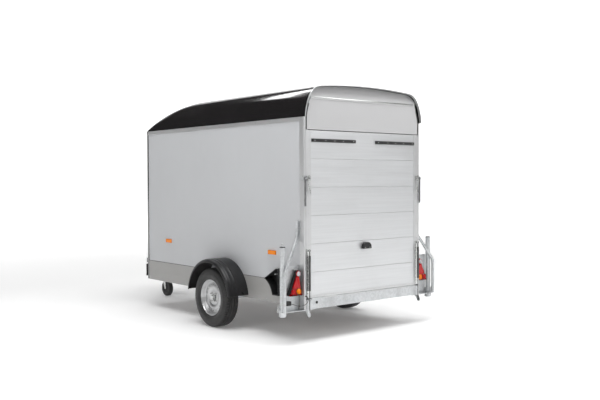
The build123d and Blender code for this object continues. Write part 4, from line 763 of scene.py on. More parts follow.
def pattern(name):
    if name not in PATTERNS:
        PATTERNS[name] = PATTERN_MAKERS[name]()
    return PATTERNS[name]


# how heads turn to face each way, from facing up
FACINGS = {
    "rear": (0.0, -math.pi / 2, 0.0),
    "front": (0.0, math.pi / 2, 0.0),
    "left": (-math.pi / 2, 0.0, 0.0),
    "right": (math.pi / 2, 0.0, 0.0),
    "up": (0.0, 0.0, 0.0),
    "down": (math.pi, 0.0, 0.0),
}


def heads(name, kind, places, facing, body, slot, look, radius, height):
    """Heads of one kind of fastener, one at each place, as one piece."""
    mesh = bpy.data.meshes.new(name)
    mesh.from_pydata([tuple(place) for place in places], [], [])
    piece = link(name, mesh)
    pattern(kind).run(piece, look, Radius=radius, Height=height, Facing=FACINGS[facing])
    return dress(piece, body, None)


# ---------------------------------------------------------------- body
def blend_low(a, b, reach):
    """The lower of two heights, rounded over within reach."""
    share = min(1.0, max(0.0, 0.5 + 0.5 * (b - a) / reach))
    return b * (1 - share) + a * share - reach * share * (1 - share)


def edge_finished(piece, width, degrees=38.0, segments=2):
    """Rounds a piece's sharp edges and leaves it a plain mesh."""
    bevel = piece.modifiers.new("Rounded edges", "BEVEL")
    bevel.width = width
    bevel.segments = segments
    bevel.limit_method = "ANGLE"
    bevel.angle_limit = math.radians(degrees)
    bevel.harden_normals = True
    return settle(piece)


def thickened(piece, thickness, rim_width=0.0012):
    """Gives an open surface a wall on its inner side."""
    wall = piece.modifiers.new("Wall", "SOLIDIFY")
    wall.thickness = thickness
    wall.offset = -1.0
    wall.use_even_offset = True
    settle(piece)
    soften(piece.data)
    return edge_finished(piece, rim_width, 50.0)


def nose_half(x):
    """Half width of the roof and front moulding at x: straight, then a quarter round to the nose."""
    into = max(0.0, x - (NOSE - NOSE_RADIUS))
    return ROOF_HIGH.y - NOSE_RADIUS + math.sqrt(max(0.0, NOSE_RADIUS**2 - into**2))


def roof_fall(x):
    """Height over the rails that the roof's fall allows at x; below zero past the side boards."""
    height = ROOF_HIGH.z - RAIL_TOP
    start, rail_end, clear, nose_round = 1.660, 2.840, 0.012, 0.060
    share = max(0.0, x - REAR - start) / (rail_end - start)
    near = min(1.0, max(0.0, 1.0 - (NOSE - x) / nose_round))
    return height - (height - clear) * share**2 - 0.7 * nose_round * (1.0 - (1.0 - near**2.2) ** (1 / 2.2))


class TRAILER_OT_roof(bpy.types.Operator):
    """Moulded roof: tumbled sides, crowned top and a long fall down to the rounded nose"""

    bl_idname = "trailer.roof"
    bl_label = "Roof"

    side_radius = 0.390
    shoulder_y = 0.647
    crown_drop = 0.033
    shoulder_blend = 0.05

    def section(self, y):
        half, height = ROOF_HIGH.y, ROOF_HIGH.z - RAIL_TOP
        out = max(0.0, abs(y) - (half - self.side_radius))
        side = math.sqrt(max(0.0, self.side_radius**2 - out**2))
        crown = height - self.crown_drop * (y / self.shoulder_y) ** 2
        return blend_low(side, crown, self.shoulder_blend)

    def height_at(self, x, y):
        """Height of the skin over the rails; y is that of the full width section."""
        limit = roof_fall(x)
        if abs(y) >= ROOF_HIGH.y:
            return min(0.0, limit)
        ahead = max(0.0, x - REAR - 1.66)
        limit += self.shoulder_blend * max(0.0, 1.0 - ahead / 0.4)
        reach = self.shoulder_blend * min(1.0, max(0.1, (NOSE - x) / 0.4))
        return blend_low(self.section(y), limit, reach)

    def execute(self, context):
        half, back = ROOF_HIGH.y, ROOF_LOW.x
        corner, fall = NOSE - NOSE_RADIUS, REAR + 1.66
        stations = [back + (fall - back) * i / 30 for i in range(30)]
        stations += [fall + (corner - fall) * i / 34 for i in range(34)]
        stations += [corner + NOSE_RADIUS * math.sin(math.pi / 2 * i / 34) for i in range(35)]
        top_angle = math.acos((self.shoulder_y - half + self.side_radius) / self.side_radius)
        side = [half - self.side_radius * (1 - math.cos(top_angle * i / 26)) for i in range(26)]
        side += [self.shoulder_y * (1 - i / 26) for i in range(26)]
        across = side + [0.0] + [-y for y in reversed(side)]
        points = []
        for x in stations:
            scale = nose_half(x) / half
            points += [(x, y * scale, RAIL_TOP + self.height_at(x, y)) for y in across]
        mesh = mesh_of("roof", points, grid_faces(len(stations), len(across)), 50.0)
        if sum(polygon.normal.z * polygon.area for polygon in mesh.polygons) < 0:
            mesh.flip_normals()
        roof = link("roof", mesh)
        thickened(roof, sizes().roof_skin)
        dress(roof, "trailer", "gloss_black", ["roof_shell"])
        self.edge_trim(across)
        return {"FINISHED"}

    def edge_trim(self, across):
        """Light metal strip clipped over the roof's rear edge."""
        rim = [Vector((0.0, y, RAIL_TOP + self.height_at(ROOF_LOW.x, y))) for y in across]
        points = []
        for i, place in enumerate(rim):
            along = rim[min(i + 1, len(rim) - 1)] - rim[max(i - 1, 0)]
            out = Vector((0.0, -along.z, along.y)).normalized()
            out = out if out.z >= 0.0 and i not in (0, len(rim) - 1) or out.y * place.y > 0 else -out
            for x, reach in ((-0.0012, 0.0011), (0.004, 0.0011), (0.004, 0.0001), (-0.0002, 0.0001),
                             (-0.0002, -0.0044), (0.024, -0.0044), (0.024, -0.0060), (-0.0012, -0.0060)):
                points.append((ROOF_LOW.x + x, place.y + out.y * reach, place.z + out.z * reach))
        ring, faces = 8, []
        for i in range(len(rim) - 1):
            for j in range(ring):
                a, b = i * ring + j, i * ring + (j + 1) % ring
                faces.append((a, b, b + ring, a + ring))
        last = (len(rim) - 1) * ring
        faces += [tuple(range(ring - 1, -1, -1)), tuple(range(last, last + ring))]
        trim = link("roof_edge_trim", mesh_of("roof_edge_trim", points, faces, 40.0))
        bm = bmesh.new()
        bm.from_mesh(trim.data)
        bmesh.ops.recalc_face_normals(bm, faces=bm.faces)
        bm.to_mesh(trim.data)
        bm.free()
        dress(trim, "trailer", "aluminium_x")


class TRAILER_OT_front(bpy.types.Operator):
    """Moulded front wall with rounded corners, its top cut to the roof's fall"""

    bl_idname = "trailer.front"
    bl_label = "Front wall"

    def execute(self, context):
        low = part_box("front_shell")[0]
        wall, skin = 0.005, sizes().roof_skin
        corner = NOSE - NOSE_RADIUS
        outer = [(corner + NOSE_RADIUS * math.sin(a), HALF - NOSE_RADIUS + NOSE_RADIUS * math.cos(a))
                  for a in [math.pi / 2 * i / 30 for i in range(31)]]
        outer += [(x, -y) for x, y in reversed(outer)]
        levels = 8
        points = []
        for x, y in outer:
            top = RAIL_TOP + min(0.0, roof_fall(x)) - skin
            points += [(x, y, low.z + (top - low.z) * i / levels) for i in range(levels + 1)]
        mesh = mesh_of("front_wall", points, grid_faces(len(outer), levels + 1), 50.0)
        piece = link("front_wall", mesh)
        if sum(p.normal.x * p.area for p in mesh.polygons) < 0:
            mesh.flip_normals()
        thickened(piece, wall, 0.001)
        dress(piece, "trailer", "gloss_black", ["front_shell"])
        return {"FINISHED"}


class TRAILER_OT_body(bpy.types.Operator):
    """Side boards, rails, pillars, the rear header and their rivets"""

    bl_idname = "trailer.body"
    bl_label = "Body"

    def execute(self, context):
        refined("side_panels", "panel_grey", 0.001)
        refined("side_skirts", "skirt_grey", 0.001)
        refined("top_rails", "aluminium_x", 0.002)
        refined("rear_header", "header_grey", 0.002, 30.0, 3)
        radius = sizes().rivet_radius
        back = HEADER_LOW.x
        count = max(2, round(1.30 / sizes().rivet_pitch))
        bead_z = 2.220
        bead = [(back, 0.65 - 1.30 * i / count, bead_z) for i in range(count + 1)]
        heads("header_rivets", "rivet", bead, "rear", "trailer", "zinc_steel", "zinc_steel", radius, 0.0022)
        face = REAR
        strip = bmesh.new()
        add_block(strip, (REAR - 0.0064, -0.688, 2.2185), (REAR - 0.0045, 0.688, 2.2310), 0.0008)
        dress(from_bm("header_bead_strip", strip), "trailer", "zinc_steel")
        # Black strips down the header's sides: a black seal low down, carried on up along the roof's edge as painted
        # shade in the joint under the roof's lip.
        for name, side in SIDES:
            seal_and_shade = bmesh.new()
            edge = ((0.744, 1.936), (0.744, 2.048), (0.7345, 2.100), (0.7130, 2.165))
            outline = [(REAR, side * y, z) for y, z in edge]
            outline += [(REAR, side * (y - 0.011), z) for y, z in reversed(edge)]
            add_prism(seal_and_shade, outline, (-0.0035, 0.0, 0.0), 0.001, 2)
            dress(from_bm(f"header_seal_{name}", seal_and_shade), "trailer", "rubber")
        sides = [(face, s * 0.700, z) for s in (-1, 1) for z in (1.961, 2.084)]
        heads("header_side_rivets", "rivet", sides, "rear", "trailer", "zinc_steel", "zinc_steel", radius, 0.0022)
        side_rivet = ("zinc_steel", "zinc_steel", 0.0035, 0.0016)
        for name, side in SIDES:
            out, turn = side * HALF, name
            column = [(REAR + 0.052, out, z / 1000) for z in range(440, 2000, 120)]
            heads(f"pillar_rivets_{name}", "rivet", column, turn, "trailer", *side_rivet)
            rail_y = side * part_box("top_rails")[1].y
            row = [(REAR + x / 1000, rail_y, 2.026) for x in range(90, 2830, 210)]
            heads(f"rail_rivets_{name}", "rivet", row, turn, "trailer", *side_rivet)
            skirt_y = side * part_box("side_skirts")[1].y
            low = [(REAR + x / 1000, skirt_y, 0.345) for x in (110, 330, 560, 1700, 2000, 2300, 2600, 2800)]
            heads(f"skirt_rivets_{name}", "rivet", low, turn, "trailer", *side_rivet)
        return {"FINISHED"}


# ---------------------------------------------------------------- wheels and mudguards
def around(name, section_at, pitch_count, steps, centre, look, degrees=38.0):
    """A ring made of equal sectors: section_at(step) gives the closed (offset, radius) section at each step."""
    points, size = [], 0
    for step in range(steps + 1):
        angle = math.tau / pitch_count * step / steps
        section = section_at(step % steps)
        size = len(section)
        for along, radius in section:
            points.append(
                Vector(centre) + Vector((radius * math.sin(angle), along, radius * math.cos(angle)))
            )
    mesh = bpy.data.meshes.new(name)
    mesh.from_pydata([tuple(p) for p in points], [], grid_faces(steps + 1, size, wrap_columns=True))
    piece = link(name, mesh)
    pattern("ring").run(piece, look, Count=pitch_count, Centre=tuple(centre))
    bm = bmesh.new()
    bm.from_mesh(piece.data)
    bmesh.ops.recalc_face_normals(bm, faces=bm.faces)
    bm.to_mesh(piece.data)
    bm.free()
    soften(piece.data, degrees)
    return piece


def tyre_section(side, tread, groove_depth, cross):
    """Closed section of a tyre as (offset, radius); cross cuts the shoulder blocks down."""
    half = [(0.0600, 0.1740), (0.0690, 0.1800), (0.0745, 0.1870), (0.0760, 0.1930), (0.0748, 0.1965),
            (0.0790, 0.2050), (0.0818, 0.2180), (0.0825, 0.2330), (0.0822, 0.2400), (0.0815, 0.2440),
            (0.0822, 0.2450), (0.0812, 0.2480), (0.0800, 0.2490), (0.0785, 0.2600), (0.0760, 0.2700),
            (0.0745, 0.2735), (0.0750, 0.2750)]
    deep = groove_depth if cross else 0.0
    shoulder = [(0.0715, 0.2830), (0.0665, 0.2895 - deep), (0.0600, 0.2935 - deep), (0.0475, 0.2955 - deep)]
    grooves = [(0.0465, 0.2900), (0.0400, 0.2900), (0.0390, 0.2962), (0.0215, 0.2968),
               (0.0205, 0.2910), (0.0145, 0.2910), (0.0135, 0.2970), (0.0, 0.2970)]
    outer = half + shoulder + grooves
    scale = tread / 0.2970
    mirrored = [(-y, r) for y, r in reversed(outer[:-1])]
    inner = [(-0.052, 0.178), (-0.068, 0.205), (-0.071, 0.240), (-0.062, 0.276), (0.0, 0.284),
             (0.062, 0.276), (0.071, 0.240), (0.068, 0.205), (0.052, 0.178)]
    return [(side * y, r * scale) for y, r in outer + mirrored + inner]


class TRAILER_OT_wheels(bpy.types.Operator):
    """Road wheels: treaded tyres, vented rims, hubs, nuts and caps"""

    bl_idname = "trailer.wheels"
    bl_label = "Wheels"

    vents = 20

    def rim(self, name, side):
        centre = (AXLE.x, side * AXLE.y, AXLE.z)
        outer = [(0.0625, 0.1825), (0.0665, 0.1828), (0.0690, 0.1805), (0.0688, 0.1775), (0.0660, 0.1752),
                 (0.0600, 0.1740), (0.0560, 0.1712), (0.0520, 0.1660), (0.0400, 0.1640), (0.0360, 0.1610),
                 (0.0340, 0.1560), (0.0300, 0.1535), (0.0262, 0.1520), (0.0262, 0.1490), (0.0290, 0.1470),
                 (0.0312, 0.1430), (0.0330, 0.1320), (0.0345, 0.1200), (0.0362, 0.1130), (0.0372, 0.1040),
                 (0.0362, 0.0960), (0.0325, 0.0900), (0.0290, 0.0840), (0.0272, 0.0760), (0.0270, 0.0620),
                 (0.0285, 0.0480), (0.0280, 0.0400), (0.0270, 0.0340)]
        back = [(0.0240, 0.0340), (0.0240, 0.0800), (0.0330, 0.1000), (0.0315, 0.1180), (0.0290, 0.1430),
                (0.0230, 0.1480), (0.0140, 0.1500), (-0.0300, 0.1520), (-0.0420, 0.1640), (-0.0560, 0.1690),
                (-0.0600, 0.1740), (-0.0690, 0.1770), (-0.0690, 0.1815), (-0.0625, 0.1825), (-0.0600, 0.1765),
                (-0.0540, 0.1720), (-0.0380, 0.1670), (-0.0260, 0.1550), (0.0200, 0.1550), (0.0340, 0.1670),
                (0.0540, 0.1745), (0.0600, 0.1770)]
        profile = [(side * y, r) for y, r in outer + back]
        piece = link(f"rim_{name}_turned", turned(f"rim_{name}_turned", profile, centre, segments=120))
        reach = side * 0.0330
        cutter = bmesh.new()
        near = Vector((centre[0], centre[1] + reach - 0.03, centre[2] + 0.1320))
        add_rod(cutter, near, near + Vector((0.0, 0.06, 0.0)), 0.0072, sides=20)
        punch = from_bm("vent_punch", cutter)
        pattern("ring").run(punch, "rim_silver", Count=self.vents, Centre=centre)
        cut = piece.modifiers.new("Vents", "BOOLEAN")
        cut.operation = "DIFFERENCE"
        cut.solver = "EXACT"
        cut.object = punch
        settle(piece)
        bpy.data.objects.remove(punch)
        soften(piece.data, 40.0)
        piece = edge_finished(piece, 0.0008, 55.0)
        dress(piece, f"wheel_{name}", "rim_silver", [f"rim_{name}"])

    def execute(self, context):
        settings = sizes()
        for name, side in SIDES:
            centre = (AXLE.x, side * AXLE.y, AXLE.z)
            tyre = around(
                f"tyre_{name}_treaded",
                lambda step: tyre_section(side, AXLE.z, settings.tread_depth, step in (0, 1)),
                settings.tread_blocks, 6, centre, "tyre", 30.0,
            )
            dress(tyre, f"wheel_{name}", "tyre", [f"tyre_{name}"])
            self.rim(name, side)
            face = side * (AXLE.y + 0.027)
            nuts = bmesh.new()
            for step in range(4):
                angle = math.radians(45.0 + 90.0 * step)
                place = Vector((AXLE.x + 0.05 * math.sin(angle), face, AXLE.z + 0.05 * math.cos(angle)))
                add_rod(nuts, place, place + Vector((0.0, side * 0.006, 0.0)), 0.0125, 0.001, 24, top=0.0105)
                tip = place + Vector((0.0, side * 0.006, 0.0))
                add_rod(nuts, tip, tip + Vector((0.0, side * 0.013, 0.0)), 0.0095, 0.0012, 6)
                add_rod(nuts, tip, tip + Vector((0.0, side * 0.019, 0.0)), 0.0058, 0.001, 16)
            cap = [(0.0, 0.0265), (0.006, 0.0265), (0.009, 0.0250), (0.024, 0.0240), (0.0270, 0.0220),
                   (0.0280, 0.0180), (0.0280, 0.0)]
            nuts_piece = from_bm(f"wheel_nuts_{name}_turned", nuts)
            dress(nuts_piece, f"wheel_{name}", "brushed", [f"wheel_nuts_{name}"])
            profile = [(side * along, radius) for along, radius in cap] + [(0.0, 0.0)]
            hub_cap = link(f"hub_cap_{name}", turned(
                f"hub_cap_{name}", profile, (AXLE.x, face, AXLE.z), segments=64
            ))
            dress(hub_cap, f"wheel_{name}", "zinc_steel")
        return {"FINISHED"}


class TRAILER_OT_mudguards(bpy.types.Operator):
    """Moulded mudguards with two raised ribs and a rolled lip"""

    bl_idname = "trailer.mudguards"
    bl_label = "Mudguards"

    def execute(self, context):
        low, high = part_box("mudguards")
        radius = high.z - AXLE.z
        reach = math.degrees(math.acos((low.z - AXLE.z) / radius))
        inner, outer = HALF - 0.002, high.y
        wall = 0.004
        line = [(inner, 0.0), (outer - 0.115, 0.0)]
        for middle in (outer - 0.095, outer - 0.048):
            line += [(middle - 0.012, 0.0), (middle - 0.008, 0.0012), (middle - 0.004, 0.0032),
                     (middle + 0.004, 0.0032), (middle + 0.008, 0.0012), (middle + 0.012, 0.0)]
        line += [(outer - 0.024, -0.0008), (outer - 0.014, -0.0032), (outer - 0.006, -0.0085),
                 (outer - 0.001, -0.0165), (outer, -0.0250), (outer, -0.0330)]
        under = [(outer - wall, -0.0330), (outer - wall, -0.0250), (outer - 0.006, -0.0180),
                 (outer - 0.014, -0.0090), (outer - 0.024, -0.0055), (inner, -0.0045)]
        for name, side in SIDES:
            section = [(side * y, radius - 0.0032 + lift) for y, lift in line + under]
            mesh = turned(
                f"mudguard_{name}", section, (AXLE.x, 0.0, AXLE.z), segments=72, start=-reach, sweep=2 * reach
            )
            piece = edge_finished(link(f"mudguard_{name}", mesh), 0.0012, 45.0)
            dress(piece, "trailer", "guard_plastic", ["mudguards"])
        return {"FINISHED"}


# ---------------------------------------------------------------- ramp, lamps, legs and locks
class TRAILER_OT_ramp(bpy.types.Operator):
    """Ramp door: framed planks, ribbed pads with screws, plate lamp and brackets"""

    bl_idname = "trailer.ramp"
    bl_label = "Ramp"

    def execute(self, context):
        refined("ramp_frame", "aluminium", 0.002)
        refined("ramp_planks", "plank", 0.0016)
        frame_screw = ("zinc_steel", "zinc_steel", 0.0042, 0.0014)
        for name, side in SIDES:
            column = [(RAMP_LOW.x, side * (RAMP_HIGH.y - 0.022), z / 1000) for z in range(450, 1900, 145)]
            heads(f"ramp_screws_{name}", "screw", column, "rear", "ramp", *frame_screw)
        top = [(RAMP_LOW.x, -0.68 + 0.17 * i, RAMP_HIGH.z - 0.018) for i in range(9)]
        heads("ramp_top_screws", "screw", top, "rear", "ramp", *frame_screw)
        low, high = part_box("ramp_pads")
        pads = bmesh.new()
        for side in (-1, 1):
            near, far = sorted((side * 0.133, side * 0.677))
            add_block(pads, (low.x + 0.003, near, low.z), (high.x, far, high.z), 0.002)
            for rib in range(4):
                z = low.z + 0.0045 + rib * 0.0070
                add_block(pads, (low.x, near + 0.003, z), (low.x + 0.004, far - 0.003, z + 0.0040), 0.0012)
        dress(from_bm("ribbed_pads", pads), "ramp", "rubber", ["ramp_pads"])
        level = (low.z + high.z) / 2
        spots = [(low.x, side * y, level) for side in (-1, 1) for y in (0.165, 0.295, 0.405, 0.515, 0.645)]
        heads("pad_screws", "screw", spots, "rear", "ramp", "zinc_steel", "zinc_steel", 0.0045, 0.0022)
        low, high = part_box("plate_lamp")
        lamp = bmesh.new()
        middle = (low.y + high.y) / 2
        reach, rise = 0.052, high.z - low.z
        outline = [(high.x, middle + reach * math.cos(math.pi * i / 28), low.z + 0.012 + (rise - 0.012)
                    * math.sin(math.pi * i / 28) ** 0.8) for i in range(29)]
        outline = [(high.x, middle + reach, low.z), *outline, (high.x, middle - reach, low.z)]
        add_prism(lamp, outline, (low.x - high.x, 0.0, 0.0), 0.006, 4)
        add_block(lamp, (low.x + 0.004, middle - 0.030, low.z), (low.x + 0.022, middle + 0.030, low.z + 0.006), 0.002)
        dress(from_bm("plate_lamp_cover", lamp, 30.0), "ramp", "black_plastic", ["plate_lamp"])
        spots = [(low.x + 0.0005, middle + s * 0.030, low.z + 0.012) for s in (-1, 1)]
        heads("plate_lamp_screws", "screw", spots, "rear", "ramp", "zinc_steel", "zinc_steel", 0.0042, 0.002)
        refined("ramp_brackets", "zinc_steel", 0.0008)
        return {"FINISHED"}


def round_lens(name, centre, radius, rise, look, body):
    """A domed round lens facing the rear, with stepped rings in its face."""
    section = [(0.004, radius)]
    rings = 5
    for ring in range(rings):
        share = 1.0 - ring / rings
        level = rise * (1.0 - 0.55 * share**2)
        section += [(-level, radius * (share - 0.02)), (-level - 0.0009, radius * (share - 0.10)),
                    (-level + 0.0002, radius * (share - 0.17))]
    section += [(-rise * 1.02, 0.0), (0.004, 0.0)]
    piece = link(name, turned(name, section, centre, "X", 48, degrees=25.0))
    dress(piece, body, look)
    return piece


class TRAILER_OT_rear_lamps(bpy.types.Operator):
    """Rear lamp clusters: triangular bodies with three round lenses each, and side markers"""

    bl_idname = "trailer.rear_lamps"
    bl_label = "Rear lamps"

    corners = ((0.812, 0.655), (0.776, 0.446), (0.900, 0.446))
    rounds = (
        ("top", 0.8120, 0.634, 0.0215, 0.012, "lamp_clear"),
        ("outer", 0.8700, 0.4755, 0.0265, 0.013, "lamp_red"),
        ("inner", 0.8090, 0.4755, 0.0265, 0.013, "lamp_amber"),
    )

    def triangle(self, grow, x, side):
        """The lamp's outline grown outwards, with rounded corners."""
        points = []
        count = len(self.corners)
        for i in range(count):
            here = Vector(self.corners[i])
            before, after = Vector(self.corners[i - 1]), Vector(self.corners[(i + 1) % count])
            for step in range(9):
                share = step / 8
                towards = (before - here).normalized() * (1 - share) + (after - here).normalized() * share
                angle = math.atan2(-towards.y, -towards.x)
                points.append(here + Vector((math.cos(angle), math.sin(angle))) * grow)
        return [(x, side * p.x, p.y) for p in points]

    def execute(self, context):
        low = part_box("lamp_lenses")[0]
        for name, side in SIDES:
            body = bmesh.new()
            add_prism(body, self.triangle(0.0095, low.x + 0.014, side), (-0.014, 0.0, 0.0), 0.004, 3)
            dress(from_bm(f"lamp_face_{name}", body, 30.0), "trailer", "lamp_red", ["lamp_lenses"])
            for part, y, z, radius, rise, look in self.rounds:
                place = (low.x + 0.001, side * y, z)
                round_lens(f"lamp_{part}_{name}", place, radius, rise, look, "trailer")
                trim = [(0.0, radius + 0.0045), (-0.004, radius + 0.0035), (-0.005, radius + 0.0015),
                        (-0.003, radius), (0.002, radius)]
                label = f"lamp_ring_{part}_{name}"
                ring = link(label, turned(label, trim, place, "X", 48))
                dress(ring, "trailer", "lamp_red" if part == "top" else "black_plastic")
        refined("lamp_housings", "black_plastic", 0.003, 35.0, 3)
        refined("side_markers", "lamp_amber", 0.0025, 35.0, 3)
        return {"FINISHED"}


class TRAILER_OT_legs(bpy.types.Operator):
    """Corner steady legs with caps and rings, and the guard tubes and brackets beside them"""

    bl_idname = "trailer.legs"
    bl_label = "Steady legs"

    def execute(self, context):
        for name, side in SIDES:
            low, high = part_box(f"leg_{name}")
            centre = (low + high) / 2
            refined(f"leg_{name}", "galvanised", 0.0015)
            cap = [(-0.004, 0.0256), (0.001, 0.0262), (0.0025, 0.0255), (0.003, 0.0235), (0.003, 0.0),
                   (-0.004, 0.0)]
            piece = link(f"leg_cap_{name}", turned(
                f"leg_cap_{name}", cap, (centre.x, centre.y, high.z), "Z", 48
            ))
            dress(piece, f"leg_{name}", "black_plastic")
            loop = [Vector((centre.x, centre.y - side * 0.016 * math.sin(a), high.z + 0.018 - 0.016 * math.cos(a)))
                    for a in [math.tau * i / 24 for i in range(25)]]
            wire = bent_tube(f"leg_ring_{name}", loop, 0.0017, 0.001, 4, 1)
            dress(wire, f"leg_{name}", "zinc_steel")
            refined(f"leg_screw_{name}", "zinc_steel", 0.0012)
        refined("guard_tubes", "galvanised", 0.0012)
        refined("rear_brackets", "galvanised", 0.0012)
        return {"FINISHED"}


class TRAILER_OT_locks(bpy.types.Operator):
    """Ramp locks: turning handles, safety pins on chains and plate bolts"""

    bl_idname = "trailer.locks"
    bl_label = "Locks"

    def execute(self, context):
        for name, side in SIDES:
            refined(f"lock_handle_{name}", "cast_grey", 0.0015)
            spots = [(REAR + x, side * 0.768, z) for x in (0.015, 0.045) for z in (1.474, 1.506)]
            heads(
                f"lock_bolts_{name}", "rivet", spots, name, "trailer", "galvanised", "zinc_steel", 0.0055, 0.0028
            )
            start = Vector((REAR - 0.018, side * 0.7235, 1.468))
            drop = []
            for i in range(33):
                t = i / 32
                drop.append(start + Vector((
                    -0.001, -side * 0.028 * math.sin(math.pi * t), -0.125 * math.sin(math.pi * t)
                )) + Vector((0.0, side * 0.016 * t, 0.0)))
            mesh = bpy.data.meshes.new(f"lock_chain_{name}")
            mesh.from_pydata([tuple(p) for p in drop], [(i, i + 1) for i in range(32)], [])
            chain = link(f"lock_chain_{name}", mesh)
            pattern("chain").run(
                chain, "zinc_steel", Wire=sizes().chain_wire, Pitch=0.0085, Width=0.0036
            )
            dress(chain, "ramp", None)
            pin = bmesh.new()
            place = Vector((REAR - 0.019, side * 0.7235, 1.512))
            add_rod(pin, place, place + Vector((0.0, 0.0, -0.050)), 0.0032, 0.0008, 20)
            add_rod(pin, place, place + Vector((0.0, 0.0, 0.006)), 0.0060, 0.0012, 20)
            dress(from_bm(f"lock_pin_{name}", pin), "ramp", "zinc_steel")
        return {"FINISHED"}


class TRAILER_OT_struts(bpy.types.Operator):
    """Gas struts: cylinders and rods"""

    bl_idname = "trailer.struts"
    bl_label = "Struts"

    def execute(self, context):
        for name, _ in SIDES:
            refined(f"strut_cylinder_{name}", "black_steel", 0.0012)
            refined(f"strut_rod_{name}", "black_steel", 0.0006)
        return {"FINISHED"}


class TRAILER_OT_cable(bpy.types.Operator):
    """Loop of lamp cable from the rear beam to the junction box"""

    bl_idname = "trailer.cable"
    bl_label = "Cable"

    # millimetres: ahead of the rear face, from the middle, above the ground
    route = (
        (-4.0, 753.0, 428.0), (-20.0, 753.0, 428.0), (-35.5, 754.5, 419.5), (-44.0, 757.0, 404.0),
        (-43.5, 762.0, 384.0), (-32.0, 769.0, 364.0), (-12.0, 782.0, 349.0), (14.0, 802.0, 342.0),
        (36.0, 822.0, 346.0), (52.0, 842.0, 354.0), (60.0, 862.0, 362.0), (60.0, 880.0, 362.0),
    )

    def execute(self, context):
        points = [from_rear(x / 1000, y / 1000, z / 1000) for x, y, z in self.route]
        curve = bpy.data.curves.new("lamp_cable", "CURVE")
        curve.dimensions = "3D"
        curve.bevel_depth = 0.00275
        curve.bevel_resolution = 5
        curve.use_fill_caps = True
        curve.resolution_u = 10
        line = curve.splines.new("NURBS")
        line.points.add(len(points) - 1)
        for point, place in zip(line.points, points):
            point.co = (*place, 1.0)
        line.order_u = 3
        line.use_endpoint_u = True
        piece = bpy.data.objects.new("lamp_cable", curve)
        context.scene.collection.objects.link(piece)
        curve.materials.append(finish("rubber"))
        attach(piece, "trailer")
        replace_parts(piece, "cable_loop")
        return {"FINISHED"}


# ---------------------------------------------------------------- stage
def softbox(name, place, target, width, height, power, tone=(1.0, 1.0, 1.0)):
    lamp = bpy.data.lights.new(name, "AREA")
    lamp.shape = "RECTANGLE"
    lamp.size, lamp.size_y = width, height
    lamp.energy = power
    lamp.color = tone
    piece = bpy.data.objects.new(name, lamp)
    piece.location = place
    piece.rotation_euler = (Vector(target) - Vector(place)).to_track_quat("-Z", "Y").to_euler()
    bpy.context.scene.collection.objects.link(piece)


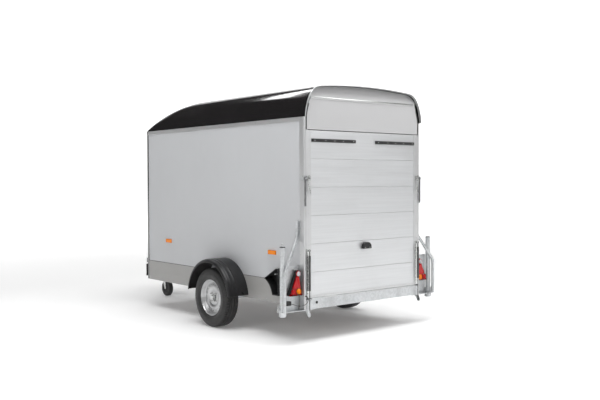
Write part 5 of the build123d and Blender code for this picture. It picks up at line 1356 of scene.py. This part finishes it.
class TRAILER_OT_stage(bpy.types.Operator):
    """White sweep, soft lights and the camera"""

    bl_idname = "trailer.stage"
    bl_label = "Stage"

    def execute(self, context):
        floor_half, back, rise, radius = 40.0, 26.0, 22.0, 6.0
        profile = [(-30.0, 0.0), (back - radius, 0.0)]
        for step in range(1, 25):
            angle = math.radians(90.0 * step / 24)
            profile.append((back - radius + radius * math.sin(angle), radius - radius * math.cos(angle)))
        profile.append((back, rise))
        heading = math.radians(-39.6)
        ahead = Vector((math.cos(heading), math.sin(heading), 0.0))
        across = Vector((-ahead.y, ahead.x, 0.0))
        points = []
        for along, up in profile:
            for side in (-floor_half, floor_half):
                points.append(ahead * along + across * side + Vector((0.0, 0.0, up - 0.0005)))
        faces = [(2 * i, 2 * i + 2, 2 * i + 3, 2 * i + 1) for i in range(len(profile) - 1)]
        mesh = bpy.data.meshes.new("sweep")
        mesh.from_pydata(points, [], faces)
        soften(mesh, 60.0)
        sweep = link("sweep", mesh)
        paper = Finish("White sweep", (0.92, 0.92, 0.92), 0.9, Specular_IOR_Level=0.0)
        paper.shader.inputs["Emission Color"].default_value = (1.0, 1.0, 1.0, 1.0)
        # the sweep glows away from the trailer, so it stays white there and takes shadows near it
        tree = paper.material.node_tree
        where = tree.nodes.new("ShaderNodeTexCoord")
        far = tree.nodes.new("ShaderNodeVectorMath")
        far.operation = "LENGTH"
        tree.links.new(where.outputs["Object"], far.inputs[0])
        glow = tree.nodes.new("ShaderNodeMapRange")
        for key, value in (("From Min", 3.5), ("From Max", 12.0), ("To Min", 0.12), ("To Max", 1.0)):
            glow.inputs[key].default_value = value
        tree.links.new(far.outputs["Value"], glow.inputs["Value"])
        tree.links.new(glow.outputs["Result"], paper.shader.inputs["Emission Strength"])
        mesh.materials.append(paper.material)

        world = bpy.data.worlds.new("Studio")
        world.use_nodes = True
        nodes, links = world.node_tree.nodes, world.node_tree.links
        way = nodes.new("ShaderNodeTexCoord")
        height = nodes.new("ShaderNodeSeparateXYZ")
        links.new(way.outputs["Generated"], height.inputs[0])
        dome = nodes.new("ShaderNodeMapRange")
        for key, value in (("From Min", 0.1), ("From Max", 0.5), ("To Min", 0.80), ("To Max", 0.45)):
            dome.inputs[key].default_value = value
        links.new(height.outputs["Z"], dome.inputs["Value"])
        links.new(dome.outputs["Result"], nodes["Background"].inputs["Strength"])
        context.scene.world = world
        context.scene.view_settings.view_transform = "Standard"
        softbox("Key", (-8.5, -4.5, 5.0), (-1.6, 0.0, 1.0), 4.0, 3.0, 170.0)
        softbox("Left fill", (-3.0, 8.0, 4.0), (-0.6, 0.0, 1.0), 5.0, 2.5, 110.0)
        softbox("Overhead", (-3.6, 1.0, 8.0), (-1.5, 0.3, 0.0), 8.0, 5.0, 700.0)
        softbox("Roof strip", (2.0, -1.0, 7.0), (0.5, 0.2, 2.2), 9.0, 0.6, 160.0)

        lens = bpy.data.cameras.new("Camera")
        lens.lens = 47.63
        lens.sensor_width = 36.0
        camera = bpy.data.objects.new("Camera", lens)
        camera.location = from_rear(-5.455, 5.333, 1.484)
        yaw, pitch = -0.692, -0.0263
        camera.rotation_euler = (math.pi / 2 + pitch, 0.0035, yaw - math.pi / 2)
        context.scene.collection.objects.link(camera)
        context.scene.camera = camera
        return {"FINISHED"}


class TRAILER_OT_plain_parts(bpy.types.Operator):
    """Parts whose CAD shape only needs rounded edges and a finish"""

    bl_idname = "trailer.plain_parts"
    bl_label = "Plain parts"

    def execute(self, context):
        done = {node for piece in bpy.data.objects for node in replaced_by(piece)}
        for node in SLOT_OF:
            if node not in done:
                refined(node, SLOT_OF[node])
        return {"FINISHED"}


# ---------------------------------------------------------------- add-on
class TRAILER_PT_builder(bpy.types.Panel):
    """Settings and steps of the trailer's looks"""

    bl_label = "Box Trailer"
    bl_idname = "TRAILER_PT_builder"
    bl_space_type = "VIEW_3D"
    bl_region_type = "UI"
    bl_category = "Trailer"

    def draw(self, context):
        layout = self.layout
        for title, group in (
            ("Colours", context.scene.trailer_colours),
            ("Sizes", context.scene.trailer_sizes),
        ):
            box = layout.box()
            box.label(text=title)
            for key in group.bl_rna.properties.keys():
                if key not in ("rna_type", "name"):
                    box.prop(group, key)
        column = layout.column(align=True)
        for step in STEPS:
            column.operator(step.bl_idname)


STEPS = (
    TRAILER_OT_stage,
    TRAILER_OT_roof,
    TRAILER_OT_front,
    TRAILER_OT_body,
    TRAILER_OT_wheels,
    TRAILER_OT_mudguards,
    TRAILER_OT_ramp,
    TRAILER_OT_rear_lamps,
    TRAILER_OT_legs,
    TRAILER_OT_locks,
    TRAILER_OT_struts,
    TRAILER_OT_cable,
    TRAILER_OT_plain_parts,
)
CLASSES = (TrailerColours, TrailerSizes, *STEPS, TRAILER_PT_builder)


def register():
    for entry in CLASSES:
        bpy.utils.register_class(entry)
    bpy.types.Scene.trailer_colours = PointerProperty(type=TrailerColours)
    bpy.types.Scene.trailer_sizes = PointerProperty(type=TrailerSizes)


def unregister():
    del bpy.types.Scene.trailer_sizes
    del bpy.types.Scene.trailer_colours
    for entry in reversed(CLASSES):
        bpy.utils.unregister_class(entry)


def main():
    register()
    for step in STEPS:
        group, name = step.bl_idname.split(".")
        getattr(getattr(bpy.ops, group), name)()


if __name__ == "__main__":
    main()
